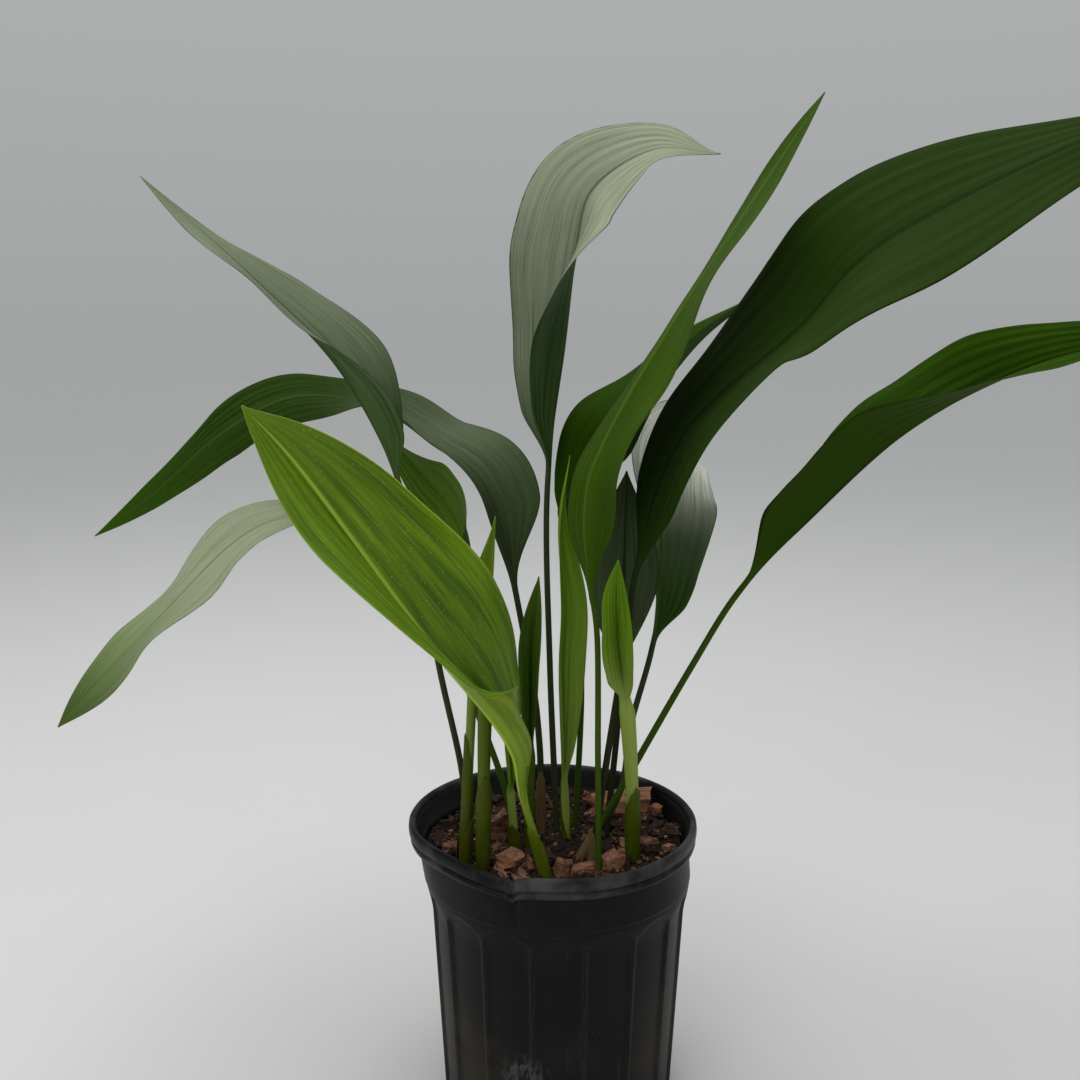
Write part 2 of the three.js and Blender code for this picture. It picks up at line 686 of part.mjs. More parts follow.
// ---------- the whole plant ----------
const plant = new THREE.Group();
plant.add(named('pot', potGeometry(), 0x1c1d1e, 0.45));
plant.add(named('potting_mix', mixGeometry(), 0x3d2a20, 0.95));
plant.add(named('rhizome', fromSolid(rhizomeSolid(0)), 0xc9b58a, 0.8));
for (const leaf of leaves) {
  plant.add(named(leaf.name, leafGeometry(leaf), leaf.colour));
}
for (const sheath of sheaths) {
  plant.add(named(sheath.name, sheathGeometry(sheath), sheath.colour, 0.7));
}

export default plant;
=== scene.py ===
"""A cast iron plant (Aspidistra) in its black nursery pot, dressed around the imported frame.

Every leaf is grown along its midrib as one thin pleated blade with its stalk. Sheaths wrap the feet of
the shoots, the pot is a spun shell whose wall is fluted and whose soft lip has been knocked, and the
potting mix carries loose flakes of bark. Sizes in the tables are millimetres, and the front faces -Y.
"""

import math
import random
from dataclasses import dataclass, replace

import bmesh
import bpy
import numpy as np
from mathutils import Matrix, Vector, noise


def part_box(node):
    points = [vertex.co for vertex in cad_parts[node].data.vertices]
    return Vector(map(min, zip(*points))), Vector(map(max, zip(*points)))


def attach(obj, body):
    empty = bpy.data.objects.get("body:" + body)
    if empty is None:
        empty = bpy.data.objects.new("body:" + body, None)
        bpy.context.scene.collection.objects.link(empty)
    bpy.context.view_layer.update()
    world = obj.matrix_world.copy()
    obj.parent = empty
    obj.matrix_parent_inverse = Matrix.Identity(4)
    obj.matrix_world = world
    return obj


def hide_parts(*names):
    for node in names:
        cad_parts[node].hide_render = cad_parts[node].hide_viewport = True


bl_info = {
    "name": "Cast iron plant in a nursery pot",
    "version": (1, 0, 0),
    "blender": (4, 5, 0),
    "location": "3D View > Sidebar > Plant",
    "description": "Dresses the packed pot, potting mix, leaves and sheaths of a cast iron plant",
    "category": "Object",
}

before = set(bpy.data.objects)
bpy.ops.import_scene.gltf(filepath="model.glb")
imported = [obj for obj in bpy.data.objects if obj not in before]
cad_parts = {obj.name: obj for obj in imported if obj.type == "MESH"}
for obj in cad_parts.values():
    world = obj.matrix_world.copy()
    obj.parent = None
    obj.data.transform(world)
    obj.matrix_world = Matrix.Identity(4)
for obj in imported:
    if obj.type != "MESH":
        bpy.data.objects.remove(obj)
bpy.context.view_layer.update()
MM = 0.001
BODY = "root"

# ---------- driving dimensions of the pot, the mix and the rhizome, in millimetres ----------
POT_TOP = round(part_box("pot")[1][2] / MM, 3)
FLUTES = 16
STEPS_PER_FLUTE = 24
WALL = 1.8
FLOOR = 3.0
RIM_RADIUS = 98.0
LIP_FOOT = 184.5
LIP_FACE_RADIUS = 92.0
BAND_TOP = 185.5
BAND_BOTTOM = 163.0
BAND_LEDGE = 0.5
INSIDE_TOP = 182.0
RIDGE_TOP_RADIUS = 86.3
RIDGE_TOP_HEIGHT = 138.0
BASE_RADIUS = 79.0
SHOULDER = 2.9
RECESS = 2.2
FLUTE_SIDE = 0.09
ARCH_TOP = 159.0
ARCH_RISE = 17.0
ARCH_EDGE = 5.0
RIDGE_END = 160.0
RIDGE_FADE = 12.0
DRAIN_HOLES = 6
DRAIN_RADIUS = 5.0
DRAIN_CIRCLE = 52.0
FLUTE_STEP = 3.0
BAND_STEP = 0.5
INSIDE_STEP = 12.0

# The ring pressed into the underside: how far inside the base's edge, and height.
BASE_RING = ((9.0, 0.0), (7.0, 1.2), (5.0, 0.0))

# The lip's two beads outside and the steps inside: radius, and depth below the pot's top.
LOWER_BEAD = ((91.5, 14.8), (94.6, 14.7), (96.4, 13.9), (97.0, 12.4), (96.8, 10.8), (95.6, 9.8))
UPPER_BEAD = (
    (95.3, 9.3), (95.9, 8.8), (97.3, 8.1), (97.9, 6.6), (98.0, 4.0), (97.7, 1.4), (96.9, 0.3),
    (95.6, 0.0), (94.2, 0.5), (93.3, 1.6),
)
LIP_STEPS = (
    (92.7, 3.2), (92.3, 4.8), (91.7, 5.2), (91.6, 8.0), (91.1, 8.4), (91.0, 11.2), (90.4, 11.6),
    (90.2, 14.2), (89.4, 14.8),
)

# The soft lip leans to the left. It is pressed in and creased at the front left.
LIP_SHIFT = -4.0
LIP_BENDS_FROM = 150.0
LIP_BENDS_OVER = 45.0
CREASE_AZIMUTH = -16.0
CREASE_WIDTH = 2.2
CREASE_INWARD = 7.0
CREASE_DROP = 7.5

# Azimuth and width in degrees, depth, and how far the lip drops there.
DENTS = ((-47, 22, 5.5, 0), (-1, 15, 2, 0), (-22, 4, 1.6, 2.2))

# Where the pot is soiled and where it is scraped: place, and how far the mark reaches.
SOILED = (((-72, -48, 52), 60), ((78, -40, 66), 52))
SCRAPED = ((-22, -77, 54), 21)

# The top of the mix: its level and slope, its low hills, and the lumps and grains on them.
MIX_LEVEL = 181.5
MIX_RISE = (0.018, 0.03)
MIX_BOTTOM = FLOOR + 0.4
MIX_RINGS = 64
MIX_SECTORS = 220
RIM_GAP = 0.9
HILLS = ((1.3, 0.085, 0.07, 1.1), (0.9, 0.19, -0.14, 0.0), (0.6, 0.11, 0.23, 3.6))
LUMP = 9.0
LUMP_HEIGHT = 1.9
GRAIN = 2.6
GRAIN_HEIGHT = 0.8

# The shoots stand just clear of the rhizome's flat top.
RHIZOME_LEVEL = 146.0
RHIZOME_RADIUS = 5.5
RHIZOME_CORNERS = 6
SHOOT_FOOT = RHIZOME_LEVEL + RHIZOME_RADIUS * math.cos(math.pi / RHIZOME_CORNERS) + 0.3
MIDRIB_SAMPLES = 401

# Millimetres along a leaf and a sheath in which the pattern of streaks runs on by one.
LEAF_RUN = 60
SHEATH_RUN = 12


# ---------- looks of the leaves ----------
@dataclass(frozen=True)
class Look:
    """Colours of one leaf, linear red, green and blue.

    face and under: the blade's two sides. streak: darker streaks on the face. pale: colour of the pale
    bloom on the face, which also paints the sheen of reflected overhead light.
    dust: how strong the specks are. gloss: roughness of the skin. specular: how much it reflects.
    """

    face: tuple
    streak: tuple
    under: tuple
    rib: tuple
    tip: tuple
    stalk: tuple
    pale: tuple = (0.60, 0.64, 0.48)
    dust: float = 0.3
    gloss: float = 0.46
    specular: float = 0.12


GREEN_STALK = (0.045, 0.085, 0.008)
PURPLE_STALK = (0.026, 0.024, 0.014)
BRIGHT = Look(
    face=(0.150, 0.265, 0.005), streak=(0.062, 0.135, 0.002), under=(0.250, 0.350, 0.030),
    rib=(0.420, 0.620, 0.060), tip=(0.150, 0.265, 0.010), stalk=(0.170, 0.240, 0.020), dust=1.0,
    specular=0.2,
)
TENDER = Look(
    face=(0.130, 0.250, 0.006), streak=(0.080, 0.170, 0.004), under=(0.170, 0.280, 0.014),
    rib=(0.220, 0.320, 0.040), tip=(0.100, 0.210, 0.006), stalk=(0.270, 0.350, 0.075), dust=0.25,
)
FRESH = Look(
    face=(0.046, 0.096, 0.003), streak=(0.027, 0.060, 0.002), under=(0.042, 0.092, 0.003),
    rib=(0.080, 0.140, 0.010), tip=(0.060, 0.130, 0.005), stalk=GREEN_STALK, gloss=0.55,
    specular=0.06,
)
LUSH = replace(
    FRESH, face=(0.066, 0.140, 0.003), streak=(0.038, 0.086, 0.002), stalk=(0.210, 0.260, 0.050),
)
PALE = Look(
    face=(0.090, 0.170, 0.012), streak=(0.055, 0.110, 0.008), under=(0.050, 0.100, 0.006),
    rib=(0.100, 0.150, 0.040), tip=(0.036, 0.080, 0.005), stalk=GREEN_STALK, pale=(0.66, 0.64, 0.52),
    specular=0.05,
)
DEEP = Look(
    face=(0.022, 0.056, 0.003), streak=(0.012, 0.032, 0.002), under=(0.023, 0.046, 0.006),
    rib=(0.009, 0.021, 0.002), tip=(0.024, 0.060, 0.003), stalk=PURPLE_STALK, dust=0.06,
    gloss=0.6, specular=0.02,
)
LONG = replace(
    DEEP, face=(0.036, 0.090, 0.002), streak=(0.021, 0.055, 0.002), under=(0.030, 0.060, 0.005),
    stalk=GREEN_STALK,
)
INNER = replace(LONG, face=(0.030, 0.074, 0.002))
GREYISH = Look(
    face=(0.028, 0.068, 0.004), streak=(0.017, 0.042, 0.003), under=(0.072, 0.130, 0.040),
    rib=(0.034, 0.060, 0.012), tip=(0.036, 0.092, 0.003), stalk=PURPLE_STALK, dust=0.15,
    gloss=0.55, specular=0.06,
)
ARCHED = replace(
    GREYISH, face=(0.020, 0.048, 0.002), streak=(0.011, 0.029, 0.002), tip=(0.028, 0.072, 0.003),
    gloss=0.7, specular=0.02,
)
LIT = replace(GREYISH, pale=(0.95, 0.98, 0.85))
SLIM = replace(TENDER, stalk=(0.044, 0.062, 0.005))
YELLOWISH = replace(TENDER, pale=(0.270, 0.350, 0.075))
OLIVE = Look(
    face=(0.050, 0.105, 0.005), streak=(0.030, 0.066, 0.003), under=(0.040, 0.084, 0.004),
    rib=(0.070, 0.120, 0.010), tip=(0.070, 0.130, 0.006), stalk=(0.050, 0.080, 0.008),
)


# ---------- the leaves ----------
@dataclass(frozen=True)
class Leaf:
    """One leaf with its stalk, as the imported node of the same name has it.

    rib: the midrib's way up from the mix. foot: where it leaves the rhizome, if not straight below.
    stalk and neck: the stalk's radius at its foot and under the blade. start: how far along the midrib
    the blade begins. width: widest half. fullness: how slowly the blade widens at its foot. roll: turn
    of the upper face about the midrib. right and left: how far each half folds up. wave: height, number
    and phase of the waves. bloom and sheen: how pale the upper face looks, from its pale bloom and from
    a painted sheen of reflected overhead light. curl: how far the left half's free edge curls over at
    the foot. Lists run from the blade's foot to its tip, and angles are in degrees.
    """

    node: str
    slot: str
    look: Look
    stalk: float
    start: float
    width: float
    fullness: float
    rib: tuple
    roll: tuple
    right: tuple
    left: tuple
    wave: tuple
    neck: float = 0.0
    foot: tuple = ()
    bloom_and_sheen: tuple = (0, 0)
    curl: float = 0.0

    def neck_radius(self):
        return self.neck or 0.85 * self.stalk


# The bloom lists paint each upper face paler: its pale bloom, and a painted sheen of reflected overhead
# light.
LEAVES = (
    Leaf(
        "leaf_front_left", "leaf_young", BRIGHT, stalk=2.9, start=38, width=61, fullness=0.9,
        foot=(-5, -46),
        rib=((-9, -48, 182), (-23, -56, 237), (-35, -74, 283), (-79, -110, 356), (-136, -142, 452),
             (-159, -168, 488)),
        roll=(-12, -58, -60, -94), right=(14, 22, 26), left=(66, 60, 41, 23, 5), wave=(1.5, 2.5, 0),
        curl=170,
    ),
    Leaf(
        "leaf_high_left", "leaf_dark", GREYISH, stalk=2.4, start=242, width=43, fullness=1.3,
        rib=((-62, 5, 182), (-66, 4, 232), (-79, 0, 301), (-92, -2, 378), (-106, -9, 438),
             (-138, -16, 503), (-186, -24, 556), (-250, -32, 616)),
        roll=(5, -15, -8, -16), right=(62, 25, -13), left=(70, 9, -9), wave=(1.5, 3, 0.3),
        bloom_and_sheen=(0, 0.03, 0.2, 0.24, 0.28, 0.36, 0.28),
    ),
    Leaf(
        "leaf_arching_left", "leaf_dark", ARCHED, stalk=2.4, start=163, width=52, fullness=0.85,
        rib=((-12, 10, 182), (-13, 16, 246), (-22, 30, 309), (-48, 50, 412), (-92, 70, 450),
             (-133, 82, 474), (-188, 78, 480), (-236, 67, 456), (-286, 57, 413), (-326, 52, 384)),
        roll=(-53, -10, -44, -26), right=(61, -19, 12), left=(41, 21, -22), wave=(2, 4, 0.6),
        bloom_and_sheen=(0.05, 0.06, 0.06, 0.17, 0.12, 0, 0, 0, 0, 0, 0),
    ),
    Leaf(
        "leaf_drooping_left", "leaf_fresh", PALE, stalk=2.4, start=235, width=43, fullness=1.2,
        foot=(-27, 0),
        rib=((-30, 0, 182), (-41, 4, 233), (-82, 12, 333), (-118, 10, 384), (-147, 0, 405),
             (-173, -10, 408), (-207, -20, 393), (-252, -42, 347), (-310, -64, 284)),
        roll=(-6, -10, -2, -58), right=(8, 8, 2), left=(22, -8, 10), wave=(2, 3, 0.1),
        bloom_and_sheen=(0.42, 0.44, 0.44, 0.2, 0),
    ),
    Leaf(
        "leaf_tall_centre", "leaf_dark", GREYISH, stalk=2.4, start=245, width=46, fullness=0.9,
        rib=((-1, 14, 182), (-6, 20, 300), (-8, 32, 420), (4, 40, 518), (12, 38, 580), (22, 30, 616),
             (59, 16, 638), (98, -8, 632)),
        roll=(19, 29, 81, 26), right=(42, 49, -3), left=(48, 34, -7), wave=(1.5, 3, 0.5),
        bloom_and_sheen=(0.04, 0.16, 0.32, 0.42, 0.62, 0.6, 0.3),
    ),
    Leaf(
        "leaf_tall_right", "leaf_fresh", FRESH, stalk=2.1, start=174, width=44, fullness=1.0,
        rib=((26, -45, 182), (25, -44, 256), (24, -42, 335), (19, -40, 373), (16, -40, 417),
             (25, -42, 454), (64, -50, 525), (147, -66, 656)),
        roll=(246, 190, 181, 216), right=(8, -4, 0), left=(4, 18, -6), wave=(1.5, 3, 0.8),
        bloom_and_sheen=(0, 0, 0, 0, 0, 0.05, 0.1),
    ),
    Leaf(
        "leaf_inner_right", "leaf_dark", INNER, stalk=2.3, start=190, width=46, fullness=0.9,
        rib=((12, 18, 182), (16, 26, 277), (13, 32, 329), (8, 36, 378), (20, 36, 415), (44, 34, 453),
             (92, 26, 519), (147, 18, 560)),
        roll=(-14, 58, 16, -14), right=(66, 40, 0), left=(48, -7, 16), wave=(1.5, 3, 0.2),
    ),
    Leaf(
        "leaf_broad_right", "leaf_dark", DEEP, stalk=2.4, start=185, width=62, fullness=1.15,
        rib=((22, -36, 182), (30, -38, 247), (43, -42, 341), (49, -50, 387), (74, -62, 465),
             (133, -90, 526), (168, -125, 570), (254, -156, 616), (312, -178, 629)),
        roll=(228, 213, 238, 215), right=(0, -9, 15), left=(12, -27, 20), wave=(2.5, 3, 0.4),
    ),
    Leaf(
        "leaf_long_right", "leaf_fresh", LONG, stalk=2.5, start=204, width=40, fullness=0.7,
        foot=(-2, -28),
        rib=((15, -26, 182), (41, -20, 227), (85, -17, 308), (117, -14, 361), (155, -10, 400),
             (217, -6, 459), (283, -8, 498), (340, -15, 516), (392, -24, 514)),
        roll=(-10, -16, 32, 34), right=(70, 37, 22), left=(70, 37, 22), wave=(2, 4, 0.7),
    ),
    Leaf(
        "leaf_round_right", "leaf_dark", LIT, stalk=2.3, start=140, width=44, fullness=1.2,
        foot=(13, -22),
        rib=((21, -16, 182), (42, -10, 223), (49, 2, 264), (65, 20, 319), (70, 42, 371), (72, 66, 420),
             (84, 94, 447), (105, 154, 466)),
        roll=(66, 76, 56, 112), right=(14, 24, -2), left=(42, 16, -3), wave=(2, 3, 0.9),
        bloom_and_sheen=(0, 0, 0.06, 0.9, 0.75, 0.35),
    ),
    Leaf(
        "leaf_upright_right", "leaf_dark", DEEP, stalk=2.3, start=118, width=25, fullness=1.7,
        rib=((33, 2, 182), (41, -1, 284), (43, -1, 391), (44, 4, 436)),
        roll=(48, 41, 60, 46), right=(42, -4, 6), left=(40, 4, 10), wave=(1, 2, 0.4),
        bloom_and_sheen=(0.05, 0.08, 0.1, 0.06),
    ),
    Leaf(
        "leaf_behind_left", "leaf_fresh", LUSH, stalk=2.5, neck=3.3, start=139, width=34, fullness=1.3,
        rib=((-62, -34, 182), (-58, -32, 252), (-55, -26, 330), (-59, -2, 388), (-72, 12, 416),
             (-90, 20, 434), (-129, 27, 472)),
        roll=(-110, -118, -108, -130), right=(54, 6, 24), left=(54, 10, 20), wave=(1, 2, 0.6),
    ),
    Leaf(
        "young_leaf_left", "leaf_young", SLIM, stalk=2.5, neck=5, start=125, width=15, fullness=1.0,
        rib=((-49, -41, 182), (-47, -40, 287), (-42, -31, 371), (-40, -28, 411)),
        roll=(-21, -20, -40, -60), right=(68, 62, 38), left=(68, 62, 38), wave=(0, 1, 0),
    ),
    Leaf(
        "young_leaf_olive", "leaf_olive", OLIVE, stalk=2.2, neck=3, start=60, width=13, fullness=0.8,
        rib=((-19, -4, 182), (-18, -8, 284), (-18, -10, 326), (-13, -12, 369)),
        roll=(130, 135, 138, 135), right=(70, 60, 20), left=(70, 60, 20), wave=(0, 1, 0),
    ),
    Leaf(
        "young_leaf_centre", "leaf_young", YELLOWISH, stalk=2.4, neck=2.8, start=30, width=17,
        fullness=1.35,
        rib=((6, 0, 182), (1, -5, 296), (3, -5, 350), (0, -1, 404), (7, 5, 446)),
        roll=(45, 60, 62, 95), right=(62, 52, 0), left=(60, 35, 28), wave=(0, 1, 0),
        bloom_and_sheen=(0.6, 0.35, 0.15, 0, 0),
    ),
    Leaf(
        "young_leaf_right", "leaf_young", YELLOWISH, stalk=2.8, neck=5, start=108, width=18,
        fullness=2.2,
        rib=((49, -30, 182), (47, -38, 241), (42, -50, 298), (36, -60, 341), (35, -68, 391)),
        roll=(166, 181, 185, 158), right=(8, 48, 44, 14), left=(8, 74, 66, 24), wave=(0, 1, 0),
        bloom_and_sheen=(1, 0.7, 0.15, 0, 0),
    ),
    Leaf(
        "young_shoot_left", "leaf_young", TENDER, stalk=2.6, neck=2.8, start=40, width=7, fullness=0.8,
        rib=((-29, -14, 182), (-34, -17, 250), (-37, -19, 285)),
        roll=(-90, -90, -90, -90), right=(75, 70, 60), left=(75, 70, 60), wave=(0, 1, 0),
    ),
)

# Node, shoot, top, layer, azimuth of the slit, and the state of the sheath's skin.
SHEATHS = (
    ("sheath_front_left", "leaf_front_left", 66, 0, 150, "fresh"),
    ("sheath_left_tall", "leaf_behind_left", 118, 0, 120, "living"),
    ("sheath_left_short", "leaf_behind_left", 68, 1, -60, "living"),
    ("sheath_left_second", "young_leaf_left", 94, 0, 200, "living"),
    ("sheath_olive_leaf", "young_leaf_olive", 52, 0, 90, "living"),
    ("sheath_young_shoot", "young_shoot_left", 50, 0, 160, "living"),
    ("sheath_centre", "young_leaf_centre", 62, 0, 20, "living"),
    ("sheath_right", "young_leaf_right", 86, 0, 215, "living"),
    ("dry_sheath_centre", "leaf_arching_left", 76, 0, 180, "dried"),
    ("dry_sheath_right", "leaf_broad_right", 54, 0, 120, "dried"),
    ("dry_sheath_long", "leaf_long_right", 70, 0, 60, "dried"),
)

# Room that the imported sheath's wall takes up, and the thinner skin of the sheath made here.
SHEATH_WALL = 0.6
SHEATH_SKIN = 0.45
SHEATH_GAP = 0.5
SHEATH_DEGREES = 320
SHEATH_SLANT = 0.4
SHEATH_CORNERS = 8
SHEATH_STEP = 2.5
SHEATH_COLUMNS = 72
SHEATH_RIBS = 52
SHEATH_RIB_HEIGHT = 0.10
RAGGED_SHARE = 0.012
RAGGED_PACE = 23
TOP_HUG = 0.08

# Flakes of bark that lie in plain sight: x, y, length, width, thickness, turn in degrees, and shade.
SEEN_CHIPS = (
    (-31, -40, 17, 14, 12, 60, 0.75),
    (-41, 13, 16, 14, 18, 30, 0.55),
    (2, -46, 9, 12, 11, 85, 0.6),
    (13, -44, 19, 7, 5, 5, 1.0),
    (34, -42, 14, 11, 11, 40, 0.8),
    (44, 45, 42, 22, 15, 8, 0.85),
    (70, 40, 8, 9, 7, 40, 1.0),
    (-70, -16, 16, 10, 7, 20, 0.6),
    (-62, 12, 12, 12, 7, 70, 0.4),
    (-17, 58, 18, 10, 8, 15, 0.45),
    (27, 6, 10, 14, 8, 50, 0.5),
    (60, -14, 12, 9, 7, 10, 0.55),
)

# Chips and flakes tilt at random, and keep clear of the pot's wall and the shoots.
CHIP_TILT = 0.2
CHIP_LIFT = 0.3
FLAKE_LENGTHS = (4, 5, 7, 9, 12, 16)
FLAKE_TILT = 0.32
FLAKE_EDGE_GAP = 5
CRUMB_EDGE_GAP = 2.5
SHOOT_CLEARANCE = 4
BARK_SEED = 11
CRUMB_SEED = 23


class PlantSizes(bpy.types.PropertyGroup):
    """Sizes of a blade's finer forms, and how much bark and how many crumbs lie on the mix."""

    blade_thickness: bpy.props.FloatProperty(
        name="Blade thickness", description="Thickness of a leaf's blade",
        default=0.55 * MM, min=0.2 * MM, max=1.5 * MM, precision=5, unit="LENGTH",
    )
    pleat_height: bpy.props.FloatProperty(
        name="Pleat height", description="Height of the lengthwise pleats of a blade",
        default=0.28 * MM, min=0.0, max=1.0 * MM, precision=5, unit="LENGTH",
    )
    pleats: bpy.props.IntProperty(
        name="Pleats", description="Pleats on each half of a blade", default=5, min=0, max=12,
    )
    keel_depth: bpy.props.FloatProperty(
        name="Keel depth", description="Depth of the midrib under a blade",
        default=1.1 * MM, min=0.0, max=3.0 * MM, precision=5, unit="LENGTH",
    )
    bark_flakes: bpy.props.IntProperty(
        name="Bark flakes", description="Number of bark flakes strewn on the mix", default=190, min=0,
    )
    crumbs: bpy.props.IntProperty(
        name="Crumbs", description="Number of small crumbs strewn on the mix", default=2000, min=0,
    )


class PlantColours(bpy.types.PropertyGroup):
    """Colours of the pot, the mix, the bark, the sheaths and the floor."""

    pot_black: bpy.props.FloatVectorProperty(
        name="Pot", description="Black of the moulded pot", subtype="COLOR", size=3,
        default=(0.0040, 0.0042, 0.0045), min=0.0, max=1.0,
    )
    # Grey of scuffs and dust, which also paints the highlight on the pot's ridges and lip.
    pot_scuff_and_highlight: bpy.props.FloatVectorProperty(
        name="Pot scuffs", description="Grey of scuffs and dust on the pot", subtype="COLOR", size=3,
        default=(0.060, 0.060, 0.058), min=0.0, max=1.0,
    )
    mix_dark: bpy.props.FloatVectorProperty(
        name="Mix", description="Dark brown of the potting mix", subtype="COLOR", size=3,
        default=(0.012, 0.006, 0.003), min=0.0, max=1.0,
    )
    bark_pale: bpy.props.FloatVectorProperty(
        name="Fresh bark", description="Pale orange brown of fresh bark", subtype="COLOR", size=3,
        default=(0.400, 0.190, 0.105), min=0.0, max=1.0,
    )
    bark_dark: bpy.props.FloatVectorProperty(
        name="Old bark", description="Grey brown of weathered bark", subtype="COLOR", size=3,
        default=(0.036, 0.015, 0.009), min=0.0, max=1.0,
    )
    sheath_green: bpy.props.FloatVectorProperty(
        name="Sheath", description="Olive green of a living sheath", subtype="COLOR", size=3,
        default=(0.070, 0.095, 0.003), min=0.0, max=1.0,
    )
    sheath_dry: bpy.props.FloatVectorProperty(
        name="Dry sheath", description="Straw brown of a dried sheath", subtype="COLOR", size=3,
        default=(0.160, 0.105, 0.045), min=0.0, max=1.0,
    )
    floor: bpy.props.FloatVectorProperty(
        name="Floor", description="Pale grey of the studio floor", subtype="COLOR", size=3,
        default=(0.72, 0.72, 0.71), min=0.0, max=1.0,
    )


# ---------- small helpers ----------
def smooth(edge, span, value):
    """Eases from 0 to 1 while value goes from edge to edge + span, which may be negative."""
    part = np.clip((np.asarray(value, float) - edge) / span, 0.0, 1.0)
    return part * part * (3 - 2 * part)


def along(values, t):
    """Reads a short list of values, spread evenly over 0..1, at t."""
    return np.interp(t, np.linspace(0, 1, len(values)), values)


def eased(values, t):
    """As along(), with the corners between the values rounded."""
    spread = np.linspace(-0.06, 0.06, 9)
    return np.mean([along(values, np.clip(t + shift, 0, 1)) for shift in spread], axis=0)


def mesh_of(name, bm):
    """Writes a bmesh into a new mesh and frees it."""
    mesh = bpy.data.meshes.new(name)
    bm.to_mesh(mesh)
    bm.free()
    return mesh


def add_object(name, data):
    made = bpy.data.objects.new(name, data)
    bpy.context.scene.collection.objects.link(made)
    return made


def finish_piece(name, bm, nodes, material, smooth_shading=True):
    """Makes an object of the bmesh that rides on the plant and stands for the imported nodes."""
    mesh = mesh_of(name, bm)
    mesh.polygons.foreach_set("use_smooth", [smooth_shading] * len(mesh.polygons))
    mesh.materials.append(material)
    piece = add_object(name, mesh)
    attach(piece, BODY)
    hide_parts(*nodes)
    return piece


def move_verts(bm, places, values):
    """Puts every vertex at its place, given in millimetres, and writes its named values."""
    layers = {name: bm.verts.layers.float.new(name) for name in values}
    columns = {name: np.asarray(column, float).tolist() for name, column in values.items()}
    for index, (vert, place) in enumerate(zip(bm.verts, (places * MM).tolist())):
        vert.co = place
        for name, layer in layers.items():
            vert[layer] = columns[name][index]


def vert_places(bm):
    return np.array([vert.co[:] for vert in bm.verts])


# ---------- node materials ----------
class Surface:
    """A Principled material that is wired up line by line."""

    def __init__(self, name, roughness=0.5, specular=0.5):
        self.material = bpy.data.materials.new(name)
        self.material.use_nodes = True
        self.tree = self.material.node_tree
        self.shader = self.tree.nodes["Principled BSDF"]
        self.shader.inputs["Roughness"].default_value = roughness
        self.shader.inputs["Specular IOR Level"].default_value = specular
        self.coords = self.tree.nodes.new("ShaderNodeTexCoord").outputs["Object"]

    def put(self, socket, value):
        """Links a node's output to a socket, or sets the socket to a number or colour."""
        if isinstance(value, bpy.types.NodeSocket):
            self.tree.links.new(value, socket)
        elif isinstance(value, (tuple, list)) and len(value) == 3 and socket.type == "RGBA":
            socket.default_value = (*value, 1.0)
        else:
            socket.default_value = value

    def attribute(self, name, output="Fac"):
        node = self.tree.nodes.new("ShaderNodeAttribute")
        node.attribute_name = name
        return node.outputs[output]

    def math(self, operation, *values):
        node = self.tree.nodes.new("ShaderNodeMath")
        node.operation = operation
        for socket, value in zip(node.inputs, values):
            self.put(socket, value)
        return node.outputs[0]

    def times(self, first, second):
        return self.math("MULTIPLY", first, second)

    def plus(self, first, second):
        return self.math("ADD", first, second)

    def less(self, first, second):
        return self.math("SUBTRACT", first, second)

    def mix(self, factor, first, second):
        node = self.tree.nodes.new("ShaderNodeMix")
        node.data_type = "RGBA"
        self.put(node.inputs["Factor"], factor)
        self.put(node.inputs[6], first)
        self.put(node.inputs[7], second)
        return node.outputs[2]

    def band(self, value, low, high):
        """Goes smoothly from 0 at low to 1 at high, where high may be the smaller."""
        node = self.tree.nodes.new("ShaderNodeMapRange")
        node.interpolation_type = "SMOOTHSTEP"
        self.put(node.inputs["Value"], value)
        node.inputs["From Min"].default_value = low
        node.inputs["From Max"].default_value = high
        return node.outputs["Result"]

    def vector(self, x, y, z):
        node = self.tree.nodes.new("ShaderNodeCombineXYZ")
        for socket, value in zip(node.inputs, (x, y, z)):
            self.put(socket, value)
        return node.outputs[0]

    def scaled(self, vector, scale):
        node = self.tree.nodes.new("ShaderNodeMapping")
        self.put(node.inputs["Vector"], vector)
        node.inputs["Scale"].default_value = scale
        return node.outputs[0]

    def noise(self, vector, scale, detail=3.0, roughness=0.55):
        node = self.tree.nodes.new("ShaderNodeTexNoise")
        self.put(node.inputs["Vector"], vector)
        node.inputs["Scale"].default_value = scale
        node.inputs["Detail"].default_value = detail
        node.inputs["Roughness"].default_value = roughness
        return node.outputs["Fac"]

    def cells(self, vector, scale):
        node = self.tree.nodes.new("ShaderNodeTexVoronoi")
        self.put(node.inputs["Vector"], vector)
        node.inputs["Scale"].default_value = scale
        return node.outputs["Distance"]

    def bump(self, height, strength, distance):
        node = self.tree.nodes.new("ShaderNodeBump")
        self.put(node.inputs["Height"], height)
        node.inputs["Strength"].default_value = strength
        node.inputs["Distance"].default_value = distance
        if self.shader.inputs["Normal"].is_linked:
            self.put(node.inputs["Normal"], self.shader.inputs["Normal"].links[0].from_socket)
        self.put(self.shader.inputs["Normal"], node.outputs[0])

    def near(self, place, reach):
        """Falls from 1 at a place to 0 a reach away from it, both in millimetres."""
        distance = self.tree.nodes.new("ShaderNodeVectorMath")
        distance.operation = "DISTANCE"
        self.put(distance.inputs[0], self.coords)
        distance.inputs[1].default_value = tuple(part * MM for part in place)
        return self.band(distance.outputs["Value"], reach * MM, 0.35 * reach * MM)

    def finish(self, colour, roughness=None):
        self.put(self.shader.inputs["Base Color"], colour)
        if roughness is not None:
            self.put(self.shader.inputs["Roughness"], roughness)
        return self.material


